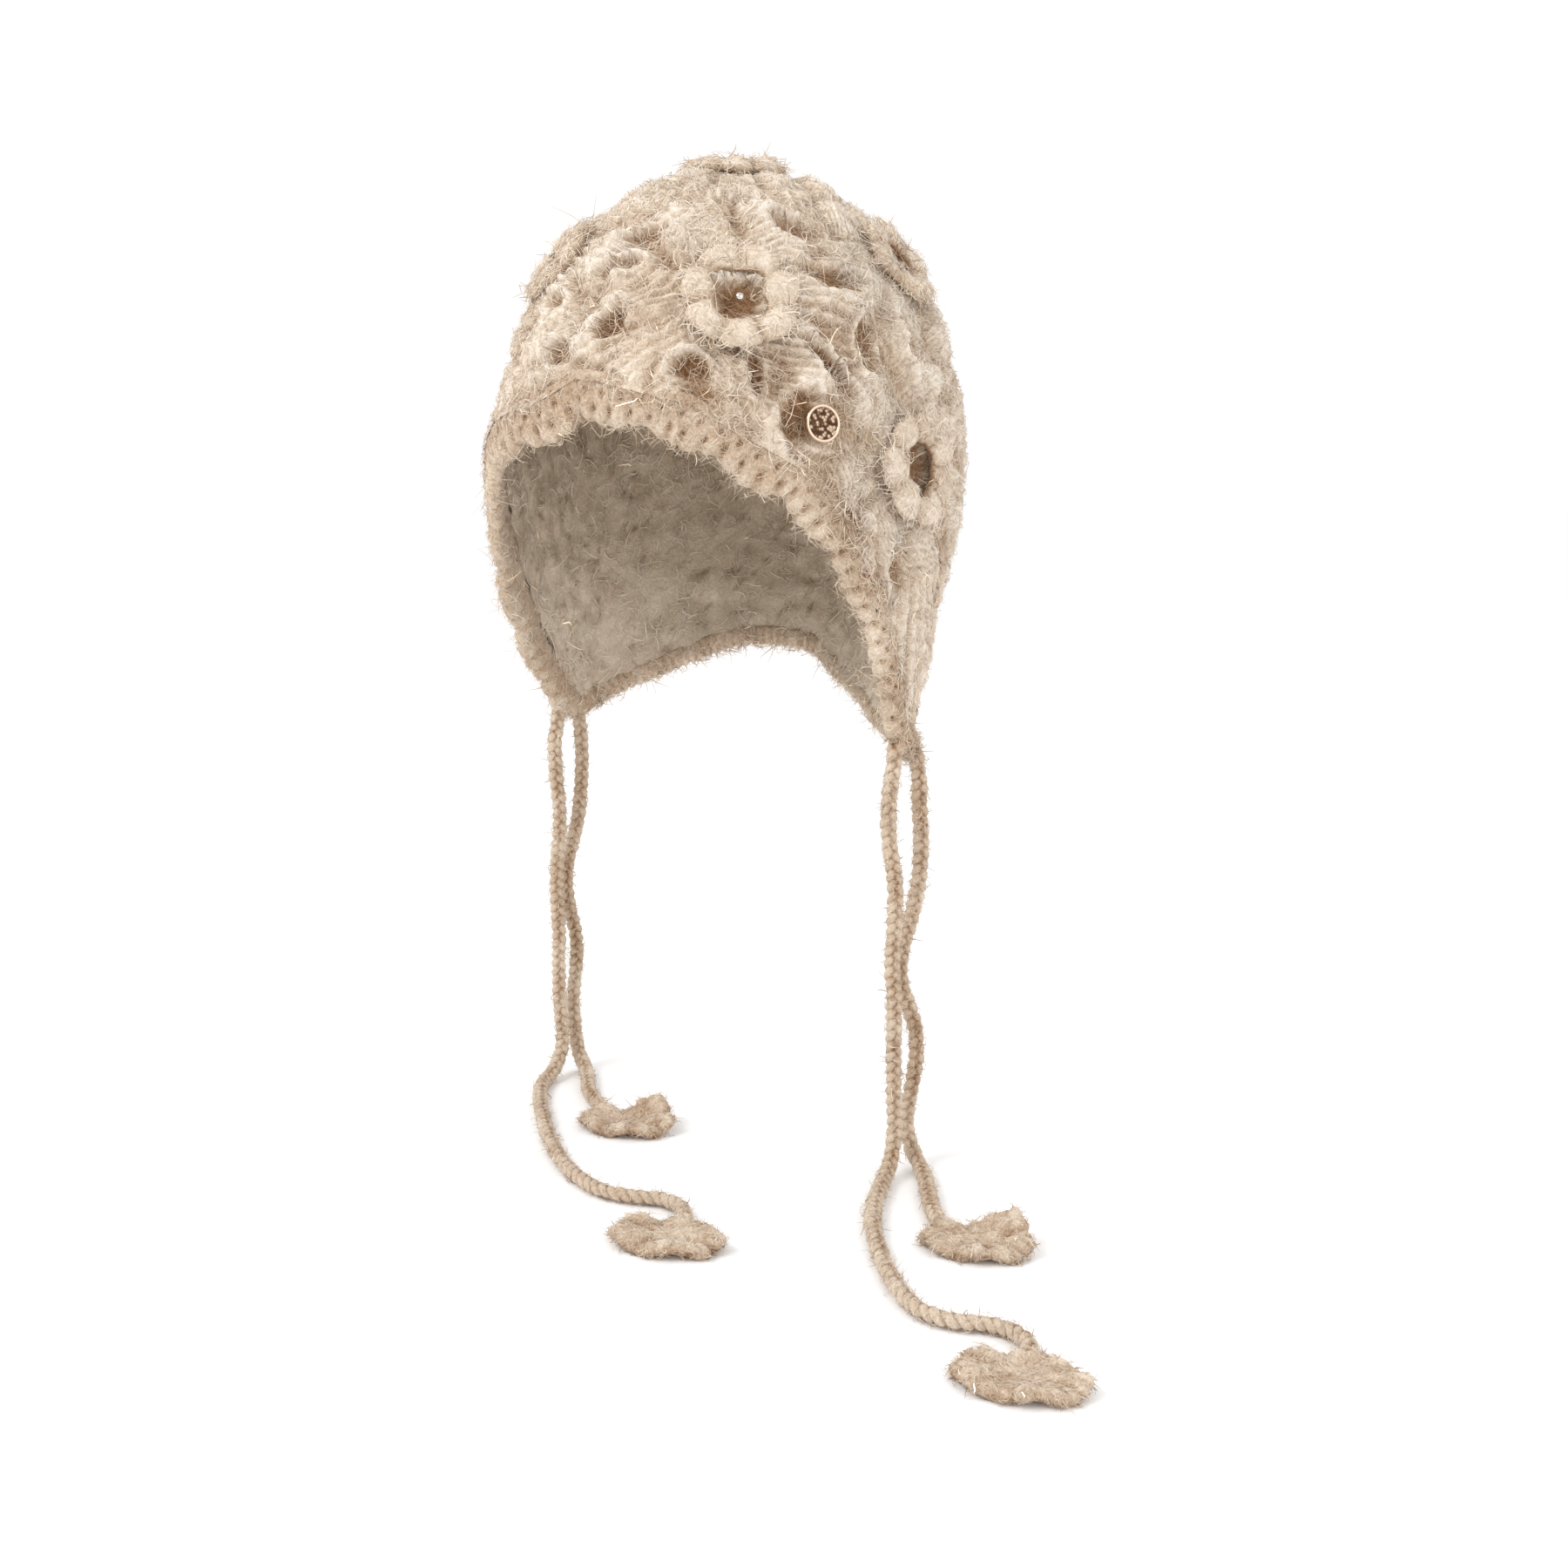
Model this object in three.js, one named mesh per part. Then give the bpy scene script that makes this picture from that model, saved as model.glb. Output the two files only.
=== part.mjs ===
// Crocheted bonnet with earflaps: a crown of raised flowers, a shell border round the face opening,
// a narrow edge along the nape, and four tie cords that each end in a ruffled flower.
// Millimetres, +Z up. The face opening looks along -Y and the wearer's left side is +X.
// The origin is the inner top of the crown, where a head carries the hat.
import * as THREE from 'three';

// Driving dimensions of the crown and the flaps
const crownRise = 112; // widest level up to the outer top of the crown
const crownHalfWidth = 88;
const crownFront = 100; // axis to the brow
const crownBack = 98; // axis to the back of the head
const flapReach = 108; // widest level down to the ends of the flaps
const knitWall = 6; // brushed crochet, pile included
const hollowDepth = 3.8; // deepest hollow between the petals
const ridgeHeight = 2; // ridges that radiate from the flowers

// Driving dimensions of the edges
const borderWidth = 12.5;
const borderTipWidth = 6;
const hemWidth = 4.5;
const edgeBulge = 1.4; // how far the edges stand proud of the crown
const picotPitch = 7.6;
const picotRise = 1.9;
const scallopPitch = 31;
const scallopRise = 3;
const hemBumpRise = 1;
const stationStep = 2.7; // distance between the sections of an edge

// Driving dimensions of the flowers, the metal pieces and the ties
const flowerHeight = 5.5;
const endFlowerLongRadius = 21.5;
const endFlowerShortRadius = 20;
const endFlowerThickness = 5;
const endFlowerRuffle = 2.2;
const endFlowerWaves = 5; // ruffles round an end flower
const raisedPetal = 9; // the one petal of a short tie's flower that stands up
const raisedPetalTurn = 50; // where it is, from the flower's long axis
const endFlowerOval = 0.59; // width of an end flower, as a share of its length
const endFlowerTurn = 23; // long axis of the end flowers, from X
const beadRadius = 1.7;
const badgeRadius = 6.6;
const badgeThickness = 1.8;
const badgeRimWidth = 1;
const badgeRimRise = 0.5;
const cordDiameter = 6.2;
const cordSides = 8;
const cordStep = 15.2; // distance between the sections of a tie
const tieDrop = 162; // end of a flap down to the surface where the ties lie

// Clearances
const pieceGap = 0.3;
const flowerGap = 0.45;

// Levels that follow from the driving dimensions
const widestLevel = knitWall - crownRise;
const tieLevel = widestLevel - flapReach;
const restLevel = tieLevel - tieDrop;

// Plan of the hat at several levels. drop is a share of flapReach below the widest level, side, front
// and back are shares of the crown's sizes there, and power is the roundness of the rear half.
const planRows = [
  { drop: -1.1, side: 1, front: 1, back: 1, power: 2 },
  { drop: -0.46, side: 1, front: 1, back: 1, power: 2 },
  { drop: -0.14, side: 1, front: 1.03, back: 1, power: 2 },
  { drop: 0, side: 1, front: 1.05, back: 0.99, power: 2 },
  { drop: 0.19, side: 1.01, front: 1.08, back: 0.92, power: 2 },
  { drop: 0.39, side: 1.02, front: 1.1, back: 0.82, power: 1.85 },
  { drop: 0.63, side: 1.03, front: 1.1, back: 0.67, power: 1.6 },
  { drop: 0.8, side: 1.02, front: 1.1, back: 0.58, power: 1.4 },
  { drop: 1.1, side: 1, front: 1.1, back: 0.49, power: 1.3 },
];

// Lower edge of the crown and flaps. turn is the angle in degrees from the middle of the brow, left and
// right are the drops of the wearer's left and right edge, as shares of flapReach below the widest level.
const rimRows = [
  { turn: 0, left: -0.23, right: -0.23 },
  { turn: 8, left: -0.285, right: -0.195 },
  { turn: 16, left: -0.27, right: -0.18 },
  { turn: 25, left: -0.24, right: -0.15 },
  { turn: 35, left: -0.205, right: -0.065 },
  { turn: 42, left: -0.15, right: 0.02 },
  { turn: 50, left: -0.085, right: 0.11 },
  { turn: 60, left: 0, right: 0.32 },
  { turn: 65, left: 0.075, right: 0.46 },
  { turn: 70, left: 0.18, right: 0.585 },
  { turn: 75, left: 0.325, right: 0.715 },
  { turn: 80, left: 0.52, right: 0.84 },
  { turn: 82.5, left: 0.66, right: 0.885 },
  { turn: 85, left: 0.83, right: 0.915 },
  { turn: 87.5, left: 0.92, right: 0.93 },
  { turn: 92.5, left: 0.952, right: 0.935 },
  { turn: 97.5, left: 0.962, right: 0.925 },
  { turn: 112, left: 0.968, right: 0.87 },
  { turn: 126, left: 0.96, right: 0.8 },
  { turn: 140, left: 0.92, right: 0.715 },
  { turn: 150, left: 0.86, right: 0.685 },
  { turn: 160, left: 0.815, right: 0.685 },
  { turn: 170, left: 0.778, right: 0.705 },
  { turn: 180, left: 0.74, right: 0.74 },
];

// Hollows between the petals. turn in degrees, drop as a share of crownRise below the outer top, long
// and wide as shares of crownRise, tilt in degrees from level, depth as a share of hollowDepth.
const hollowRows = [
  { turn: 14, drop: 0.26, long: 0.15, wide: 0.05, tilt: 20, depth: 0.8 },
  { turn: 10, drop: 0.37, long: 0.16, wide: 0.05, tilt: 20, depth: 0.8 },
  { turn: 12, drop: 0.54, long: 0.13, wide: 0.07, tilt: 50, depth: 0.8 },
  { turn: -10, drop: 0.47, long: 0.08, wide: 0.06, tilt: 0, depth: 0.7 },
  { turn: -2, drop: 0.63, long: 0.08, wide: 0.06, tilt: 90, depth: 0.7 },
  { turn: 35, drop: 0.69, long: 0.11, wide: 0.08, tilt: 0, depth: 0.8 },
  { turn: 50, drop: 0.7, long: 0.13, wide: 0.05, tilt: 90, depth: 0.9 },
  { turn: 66, drop: 0.23, long: 0.17, wide: 0.08, tilt: -15, depth: 0.9 },
  { turn: 73, drop: 0.39, long: 0.22, wide: 0.08, tilt: -15, depth: 1 },
  { turn: 80, drop: 0.61, long: 0.2, wide: 0.07, tilt: 80, depth: 0.9 },
  { turn: 68, drop: 0.69, long: 0.24, wide: 0.05, tilt: -50, depth: 0.9 },
  { turn: 94, drop: 0.59, long: 0.18, wide: 0.05, tilt: 90, depth: 0.7 },
  { turn: 60, drop: 0.84, long: 0.16, wide: 0.12, tilt: 60, depth: 0.6 },
  { turn: 46, drop: 0.47, long: 0.16, wide: 0.11, tilt: 0, depth: 0.9 },
  { turn: 90, drop: 1, long: 0.2, wide: 0.16, tilt: 90, depth: 1 },
  { turn: 72, drop: 1.17, long: 0.12, wide: 0.07, tilt: 0, depth: 0.6 },
  { turn: 84, drop: 1.32, long: 0.13, wide: 0.07, tilt: 90, depth: 0.6 },
  { turn: 108, drop: 1.1, long: 0.12, wide: 0.07, tilt: 90, depth: 0.6 },
];
// The hidden half of the crown repeats the hollows of the half that shows, turned this far.
const hiddenHalfTurn = 178;

// Raised flowers. turn in degrees, drop as a share of crownRise below the outer top, radius and hollow
// (the open heart) as shares of crownHalfWidth, petals is their number and start the first one's angle.
const flowerRows = [
  { name: 'flower_front', turn: 46, drop: 0.47, radius: 0.24, hollow: 0.12, petals: 7, start: 10 },
  { name: 'flower_top', turn: 40, drop: 0.002, radius: 0.22, hollow: 0.06, petals: 8, start: 0 },
  { name: 'flower_left', turn: 90, drop: 0.995, radius: 0.23, hollow: 0.13, petals: 7, start: 25 },
  { name: 'flower_left_upper', turn: 106, drop: 0.33, radius: 0.2, hollow: 0.09, petals: 6, start: 0 },
  { name: 'flower_right_upper', turn: -26, drop: 0.33, radius: 0.19, hollow: 0.08, petals: 6, start: 15 },
  { name: 'flower_right', turn: -88, drop: 0.9, radius: 0.23, hollow: 0.13, petals: 7, start: 5 },
  { name: 'flower_right_back', turn: -122, drop: 0.42, radius: 0.22, hollow: 0.11, petals: 7, start: 30 },
  { name: 'flower_back', turn: 168, drop: 0.62, radius: 0.24, hollow: 0.12, petals: 7, start: 12 },
  { name: 'flower_nape', turn: -148, drop: 1.12, radius: 0.22, hollow: 0.12, petals: 7, start: 0 },
];

const badgePlace = { turn: 64, drop: 0.86 };
const beadPlace = { turn: 46, drop: 0.475 };

// Routes of the ties, chosen by hand, as steps of [across, along, rise] from each tie's exit. across and
// along are in X and Y, and rise is the height over the surface where the ties lie, as a share of tieDrop.
// front is how far the exit lies in front of the hat's axis, flower is the middle of the end flower, and
// joint is where the tie meets the flower's rim, from the flower's long axis.
const tieRoutes = {
  left: {
    long: {
      front: 12,
      flower: { across: 124.4, along: -101.3 },
      joint: 90,
      steps: [
        [-0.6, -0.5, 0.96], [-1.3, -1.1, 0.914], [-1.6, -1.4, 0.852], [-1.1, -0.9, 0.785],
        [0.2, 0.2, 0.718], [0.7, 0.6, 0.65], [0.3, 0.2, 0.575], [-0.1, -0.1, 0.497],
        [0.6, 0.5, 0.412], [0.7, 0.6, 0.304], [0.9, 0.7, 0.195], [1.1, 0.9, 0.13],
        [1.3, 0.9, 0.086], [2.1, -1.3, 0.045], [3.8, -5.9, 0.0144], [6.1, -12.2, 0],
        [10.2, -20.8, 0], [15.8, -30.6, 0], [23.3, -41.6, 0], [33, -53.2, 0], [44.5, -64.6, 0],
        [57, -75.2, 0], [68.4, -82.8, 0], [78, -86.6, 0], [86.5, -86.4, 0], [94.4, -82.8, 0],
        [99.6, -79.9, 0], [105.5, -78.8, 0], [110.9, -79.9, 0], [115, -82.5, 0],
      ],
    },
    short: {
      front: -2,
      flower: { across: 63.1, along: -47.7 },
      joint: 135,
      steps: [
        [0.7, 0.6, 0.93], [0.9, 0.8, 0.869], [1.6, 1.3, 0.785], [1.1, 0.9, 0.7],
        [-0.3, -0.2, 0.625], [-2.6, -2.2, 0.552], [-4, -3.4, 0.487], [-3.6, -3, 0.43],
        [-1.4, -1.2, 0.38], [0.6, 0.5, 0.324], [1.1, 0.9, 0.265], [0.3, 0.2, 0.195],
        [-1.1, -0.9, 0.135], [-1.6, -1.4, 0.086], [0.5, -2.3, 0.0454], [4.7, -4.2, 0.0153],
        [10.2, -7.6, 0], [17, -14.4, 0], [24.8, -23.4, 0], [33.6, -33.6, 0], [43.1, -42.4, 0],
      ],
    },
  },
  right: {
    long: {
      front: 17,
      flower: { across: 152.7, along: -95.8 },
      joint: 90,
      steps: [
        [-0.8, -0.7, 0.96], [-1.6, -1.4, 0.921], [-1.7, -1.4, 0.874], [-1.3, -1.1, 0.803],
        [-0.7, -0.6, 0.735], [-0.9, -0.7, 0.665], [-1.9, -1.6, 0.588], [-2.3, -1.9, 0.515],
        [-2.1, -1.7, 0.442], [-1.9, -1.6, 0.381], [-2.2, -1.8, 0.295], [-2.3, -1.9, 0.221],
        [-1.9, -1.6, 0.15], [-1.3, -1.4, 0.086], [-0.7, -3.6, 0.0444], [0.6, -8.4, 0.0138],
        [2.6, -15, 0], [8.2, -23.4, 0], [18.6, -33.8, 0], [31.1, -44, 0], [49.5, -57.8, 0],
        [66.7, -69, 0], [82.1, -76.8, 0], [94.5, -81, 0], [105.2, -82.6, 0], [114.8, -80.9, 0],
        [122.7, -77.3, 0], [127.9, -74.4, 0], [133.8, -73.3, 0], [139.2, -74.4, 0], [143.3, -77, 0],
      ],
    },
    short: {
      front: 6,
      flower: { across: 65.8, along: -40 },
      joint: 135,
      steps: [
        [0.8, 0.7, 0.94], [1.1, 0.9, 0.86], [0.6, 0.5, 0.788], [-0.5, -0.4, 0.71], [-2.4, -2, 0.64],
        [-4.4, -3.7, 0.577], [-5.2, -4.3, 0.51], [-4.1, -3.4, 0.436], [-2.5, -2.1, 0.372],
        [-2.3, -1.9, 0.312], [-3, -2.5, 0.249], [-3.7, -3.1, 0.19], [-3.7, -3.1, 0.135],
        [-3.2, -2.9, 0.086], [-1, -3.7, 0.0454], [3.5, -5.5, 0.0148], [9.4, -8.6, 0],
        [17.6, -15.8, 0], [27.6, -24.4, 0], [37, -30.2, 0], [45.7, -34.8, 0],
      ],
    },
  },
};
const tieEndStraight = 3.4; // the last bit of a tie runs straight at the rim

// Materials
const knit = (name, colour) =>
  new THREE.MeshStandardMaterial({ name, color: colour, roughness: 0.95, metalness: 0 });
const crownWool = knit('crown_wool', '#d2c2b0');
const borderWool = knit('border_wool', '#d8cab8');
const flowerWool = knit('flower_wool', '#dacdbc');
const tieWool = knit('tie_wool', '#c8b8a5');
const badgeMetal = new THREE.MeshStandardMaterial({
  name: 'badge_metal', color: '#c9b3a0', roughness: 0.35, metalness: 1,
});
const beadMetal = new THREE.MeshStandardMaterial({
  name: 'bead_metal', color: '#d9d2c8', roughness: 0.25, metalness: 1,
});

const hat = new THREE.Group();

const radians = THREE.MathUtils.degToRad;

function addPiece(name, geometry, material) {
  const piece = new THREE.Mesh(geometry, material);
  piece.name = name;
  hat.add(piece);
  return piece;
}

// Straight-line reading of one column of a table between two rows.
function readTable(rows, key, value, column) {
  if (value <= rows[0][key]) return rows[0][column];
  for (let i = 1; i < rows.length; i++) {
    if (value <= rows[i][key]) {
      const share = (value - rows[i - 1][key]) / (rows[i][key] - rows[i - 1][key]);
      return THREE.MathUtils.lerp(rows[i - 1][column], rows[i][column], share);
    }
  }
  return rows[rows.length - 1][column];
}

function planAt(z, inset) {
  const drop = (widestLevel - z) / flapReach;
  return {
    side: readTable(planRows, 'drop', drop, 'side') * crownHalfWidth - inset,
    front: readTable(planRows, 'drop', drop, 'front') * crownFront - inset,
    back: readTable(planRows, 'drop', drop, 'back') * crownBack - inset,
    power: readTable(planRows, 'drop', drop, 'power'),
  };
}

// Point of the hat's smooth outer form at a turn and a level, or of the form inset by the wall.
function formPoint(turn, z, inset = 0) {
  const plan = planAt(z, inset);
  const rise = Math.max(0, z - widestLevel) / (crownRise - inset);
  const shrink = Math.sqrt(Math.max(0, 1 - rise * rise));
  const sine = Math.sin(radians(turn));
  const cosine = Math.cos(radians(turn));
  const behind = cosine < 0;
  const bend = behind ? 2 / plan.power : 1;
  const x = Math.sign(sine) * Math.abs(sine) ** bend * plan.side;
  const y = -Math.sign(cosine) * Math.abs(cosine) ** bend * (behind ? plan.back : plan.front);
  return new THREE.Vector3(x * shrink, y * shrink, z);
}

function formNormal(turn, z) {
  const step = 0.5;
  const along = formPoint(turn + step, z).sub(formPoint(turn - step, z));
  const up = formPoint(turn, z + step).sub(formPoint(turn, z - step));
  return along.cross(up).normalize();
}

function rimLevel(turn) {
  const column = turn >= 0 ? 'left' : 'right';
  return widestLevel - flapReach * readTable(rimRows, 'turn', Math.abs(turn), column);
}

// Local frame of a piece that is sewn to the crown.
function seatFrame(turn, drop) {
  const z = widestLevel + crownRise * (1 - drop);
  const origin = formPoint(turn, z);
  const out = formNormal(turn, z);
  const side = formPoint(turn + 1, z).sub(formPoint(turn - 1, z)).normalize();
  const up = new THREE.Vector3().crossVectors(out, side).normalize();
  return { origin, out, side, up };
}

const ridgeZone = { from: 1.35, to: 2.4 }; // as shares of the flower's radius
const ridgeSources = flowerRows.map((row) => (
  { ...row, radius: row.radius * crownHalfWidth, frame: seatFrame(row.turn, row.drop) }
));

// The hollows with their places and axes on the outer form
const hollowFade = 0.9; // how fast a hollow ends at its rim
const hollows = [];
for (const row of hollowRows) {
  for (const turned of [0, hiddenHalfTurn]) {
    const { origin, out, side, up } = seatFrame(row.turn + turned, row.drop);
    const tilt = radians(row.tilt);
    hollows.push({
      centre: origin,
      longAxis: side.clone().multiplyScalar(Math.cos(tilt)).addScaledVector(up, Math.sin(tilt)),
      wideAxis: up.clone().multiplyScalar(Math.cos(tilt)).addScaledVector(side, -Math.sin(tilt)),
      out,
      long: row.long * crownRise / 2,
      wide: row.wide * crownRise / 2,
      depth: row.depth * hollowDepth,
    });
  }
}

// Ridges that radiate from each raised flower, as petals of the knit round it.
function ridgeAt(point) {
  let height = 0;
  for (const { frame, radius, petals, start } of ridgeSources) {
    const away = point.clone().sub(frame.origin);
    const reach = away.length() / radius;
    if (reach < ridgeZone.from) return 0;
    if (reach > ridgeZone.to) continue;
    const angle = Math.atan2(away.dot(frame.up), away.dot(frame.side));
    const way = (reach - ridgeZone.from) / (ridgeZone.to - ridgeZone.from);
    const crest = 0.5 + 0.5 * Math.cos(petals * (angle - radians(start)));
    height = Math.max(height, ridgeHeight * Math.sin(Math.PI * way) * crest);
  }
  return height;
}

// Depth of the hollows at a point of the outer form.
function hollowAt(point) {
  let depth = 0;
  for (const hollow of hollows) {
    const away = point.clone().sub(hollow.centre);
    if (Math.abs(away.dot(hollow.out)) > hollow.long + hollow.wide) continue;
    const long = away.dot(hollow.longAxis) / hollow.long;
    const wide = away.dot(hollow.wideAxis) / hollow.wide;
    depth = Math.max(depth, hollow.depth * Math.exp(-hollowFade * (long * long + wide * wide)));
  }
  return depth;
}

// Crown, flaps and nape in one wall
const flapZone = { from: 75, to: 97.5, step: 2.5 }; // finer columns where the rim is steep
const crownStep = 5;

function bodyTurns() {
  const turns = [0];
  while (turns[turns.length - 1] < 180) {
    const last = turns[turns.length - 1];
    const fine = last >= flapZone.from && last < flapZone.to;
    turns.push(Math.min(180, last + (fine ? flapZone.step : crownStep)));
  }
  const mirrored = turns.slice(1, -1).reverse().map((turn) => -turn);
  return [...mirrored, ...turns];
}

// Levels from the top down to the rim, evenly spaced along the curve of the crown.
function columnLevel(turn, share, inset) {
  const height = crownRise - inset;
  const rim = rimLevel(turn);
  const rimTravel = rim > widestLevel
    ? Math.acos((rim - widestLevel) / height)
    : Math.PI / 2 + (widestLevel - rim) / height;
  const travel = share * rimTravel;
  if (travel > Math.PI / 2) return widestLevel - (travel - Math.PI / 2) * height;
  return widestLevel + height * Math.cos(travel);
}

const outerRows = 17;
const innerRows = 8;
const turns = bodyTurns();

function buildBody() {
  const positions = [];
  const index = [];
  const push = (point) => positions.push(point.x, point.y, point.z) / 3 - 1;
  const skin = (rows, inset) => {
    const rings = [];
    for (let row = 1; row <= rows; row++) {
      rings.push(turns.map((turn) => {
        const z = columnLevel(turn, row / rows, inset);
        const point = formPoint(turn, z, inset);
        if (inset === 0 && row < rows) {
          const relief = ridgeAt(point) - hollowAt(point);
          point.addScaledVector(formNormal(turn, z), relief);
        }
        return push(point);
      }));
    }
    return rings;
  };
  const outerTop = push(new THREE.Vector3(0, 0, widestLevel + crownRise));
  const outer = skin(outerRows, 0);
  const innerTop = push(new THREE.Vector3(0, 0, widestLevel + crownRise - knitWall));
  const inner = skin(innerRows, knitWall);
  for (let i = 0; i < turns.length; i++) {
    const j = (i + 1) % turns.length;
    index.push(outerTop, outer[0][i], outer[0][j]);
    index.push(innerTop, inner[0][j], inner[0][i]);
    const stitch = (upper, lower) => {
      index.push(upper[i], lower[i], lower[j]);
      index.push(upper[i], lower[j], upper[j]);
    };
    for (let row = 1; row < outer.length; row++) stitch(outer[row - 1], outer[row]);
    stitch(outer[outer.length - 1], inner[inner.length - 1]);
    for (let row = inner.length - 1; row > 0; row--) stitch(inner[row], inner[row - 1]);
  }
  const geometry = new THREE.BufferGeometry();
  geometry.setAttribute('position', new THREE.Float32BufferAttribute(positions, 3));
  geometry.setIndex(index);
  geometry.computeVertexNormals();
  return geometry;
}

// Sections of an edge along the rim. across points from the inside of the wall to its outside, and
// away points from the rim into the open, at right angles to the rim and to across.
const rimReading = 1.5; // degrees of turn over which the rim's direction is read

function edgeStations(firstTurn, lastTurn) {
  const path = [];
  const span = lastTurn - firstTurn;
  const inRange = turns
    .flatMap((turn) => [turn, turn + 360])
    .filter((turn) => turn > firstTurn && turn < firstTurn + span)
    .sort((a, b) => a - b);
  const stops = [firstTurn, ...inRange, lastTurn];
  const wrap = (turn) => (turn > 180 ? turn - 360 : turn);
  const rimAt = (turn, inset) => formPoint(wrap(turn), rimLevel(wrap(turn)), inset);
  for (let i = 1; i < stops.length; i++) {
    const ends = [stops[i - 1], stops[i]].map((turn) => ({ outer: rimAt(turn, 0), inner: rimAt(turn, knitWall) }));
    const steps = Math.max(1, Math.ceil(ends[0].outer.distanceTo(ends[1].outer) / stationStep));
    for (let k = i === 1 ? 0 : 1; k <= steps; k++) {
      path.push({
        turn: THREE.MathUtils.lerp(stops[i - 1], stops[i], k / steps),
        outer: ends[0].outer.clone().lerp(ends[1].outer, k / steps),
        inner: ends[0].inner.clone().lerp(ends[1].inner, k / steps),
      });
    }
  }
  let run = 0;
  return path.map((station, i) => {
    if (i > 0) run += station.outer.distanceTo(path[i - 1].outer);
    const before = rimAt(station.turn - rimReading, 0);
    const after = rimAt(station.turn + rimReading, 0);
    const along = after.sub(before).normalize();
    const across = station.outer.clone().sub(station.inner).normalize();
    const away = new THREE.Vector3().crossVectors(along, across).normalize();
    return { ...station, run, across, away };
  });
}

// Closed strip through sections that each hold the same number of points, with flat ends.
function stripGeometry(sections) {
  const positions = sections.flat().flatMap((point) => point.toArray());
  const sides = sections[0].length;
  const last = (sections.length - 1) * sides;
  const index = [];
  for (let s = 0; s < sections.length - 1; s++) {
    for (let k = 0; k < sides; k++) {
      const a = s * sides + k;
      const b = s * sides + ((k + 1) % sides);
      index.push(a, b, b + sides, a, b + sides, a + sides);
    }
  }
  for (let k = 1; k < sides - 1; k++) {
    index.push(0, k + 1, k);
    index.push(last, last + k, last + k + 1);
  }
  const geometry = new THREE.BufferGeometry();
  geometry.setAttribute('position', new THREE.Float32BufferAttribute(positions, 3));
  geometry.setIndex(index);
  geometry.computeVertexNormals();
  return geometry;
}

const wave = (run, pitch) => Math.abs(Math.sin(Math.PI * run / pitch));

// Section of an edge, round from its fullest point. from is the face of the wall it is measured from, out
// the step out of that face and reach the share of the edge's width.
const edgeProfile = [
  { from: 'outer', out: edgeBulge, reach: 0.55 },
  { from: 'outer', out: -0.15 * knitWall, reach: 1 },
  { from: 'inner', out: 0.2 * knitWall, reach: 0.95 },
  { from: 'inner', out: 0, reach: 0 },
  { from: 'outer', out: 0, reach: 0 },
];

function edgeSection(station, width) {
  return edgeProfile.map(({ from, out, reach }) => (
    station[from].clone()
      .addScaledVector(station.across, out)
      .addScaledVector(station.away, Math.max(pieceGap, width * reach))
  ));
}

const tipTurn = 94; // where the shell border hands over to the narrow edge
const borderTaper = { from: 62, to: 86 };

function borderWidthAt(turn) {
  const share = (Math.abs(turn) - borderTaper.from) / (borderTaper.to - borderTaper.from);
  return THREE.MathUtils.lerp(borderWidth, borderTipWidth, THREE.MathUtils.clamp(share, 0, 1));
}

function buildBorder() {
  const stations = edgeStations(-tipTurn, tipTurn);
  return stripGeometry(stations.map((station) => {
    const width = borderWidthAt(station.turn);
    const fullness = width / borderWidth;
    const rise = wave(station.run, picotPitch) * picotRise
      + wave(station.run, scallopPitch) * scallopRise * fullness;
    return edgeSection(station, width - picotRise - scallopRise * fullness / 2 + rise);
  }));
}

const handOver = 0.3; // degrees of turn that keep the two edges apart

function buildHem() {
  const stations = edgeStations(tipTurn + handOver, 360 - tipTurn - handOver);
  return stripGeometry(stations.map((station) => (
    edgeSection(station, hemWidth - hemBumpRise + wave(station.run, picotPitch) * hemBumpRise)
  )));
}

// Nearest point of the outer form to a point beside it, along the line to the middle of the hat.
function ontoForm(point) {
  const found = point.clone();
  for (let pass = 0; pass < 4; pass++) {
    const plan = planAt(found.z, 0);
    const length = found.y > 0 ? plan.back : plan.front;
    const power = found.y > 0 ? plan.power : 2;
    const rise = Math.max(0, found.z - widestLevel) / crownRise;
    const spread = (Math.abs(found.x) / plan.side) ** power + (Math.abs(found.y) / length) ** power;
    const size = (spread + rise ** power) ** (1 / power);
    found.x /= size;
    found.y /= size;
    if (rise > 0) found.z = widestLevel + (found.z - widestLevel) / size;
  }
  return found;
}

const flowerSides = 21;
const petalNotch = 0.1; // how deep the rim is cut between two petals, as a share of the radius
const petalDip = 0.25; // how much lower a flower is there, as a share of its height
// Section of a flower's petal ring, from its heart outwards: share of the way, share of the height
const petalProfile = [
  { way: 0, height: 0 },
  { way: 0.12, height: 0.72 },
  { way: 0.5, height: 1 },
  { way: 0.88, height: 0.6 },
  { way: 1, height: 0 },
];

function buildFlower(row) {
  const frame = seatFrame(row.turn, row.drop);
  const outward = row.radius * crownHalfWidth;
  const heart = row.hollow * crownHalfWidth;
  const sections = [];
  for (let i = 0; i < flowerSides; i++) {
    const angle = 2 * Math.PI * i / flowerSides;
    const lobe = Math.abs(Math.cos((angle - radians(row.start)) * row.petals / 2));
    const edge = outward * (1 - petalNotch * (1 - lobe));
    sections.push(petalProfile.map(({ way, height }) => {
      const reach = THREE.MathUtils.lerp(heart, edge, way);
      const flat = frame.origin.clone()
        .addScaledVector(frame.side, Math.cos(angle) * reach)
        .addScaledVector(frame.up, Math.sin(angle) * reach);
      const seat = ontoForm(flat);
      const lift = flowerGap + flowerHeight * height * (1 - petalDip * (1 - lobe));
      return seat.addScaledVector(frame.out, lift);
    }));
  }
  return ringGeometry(sections);
}

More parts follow.
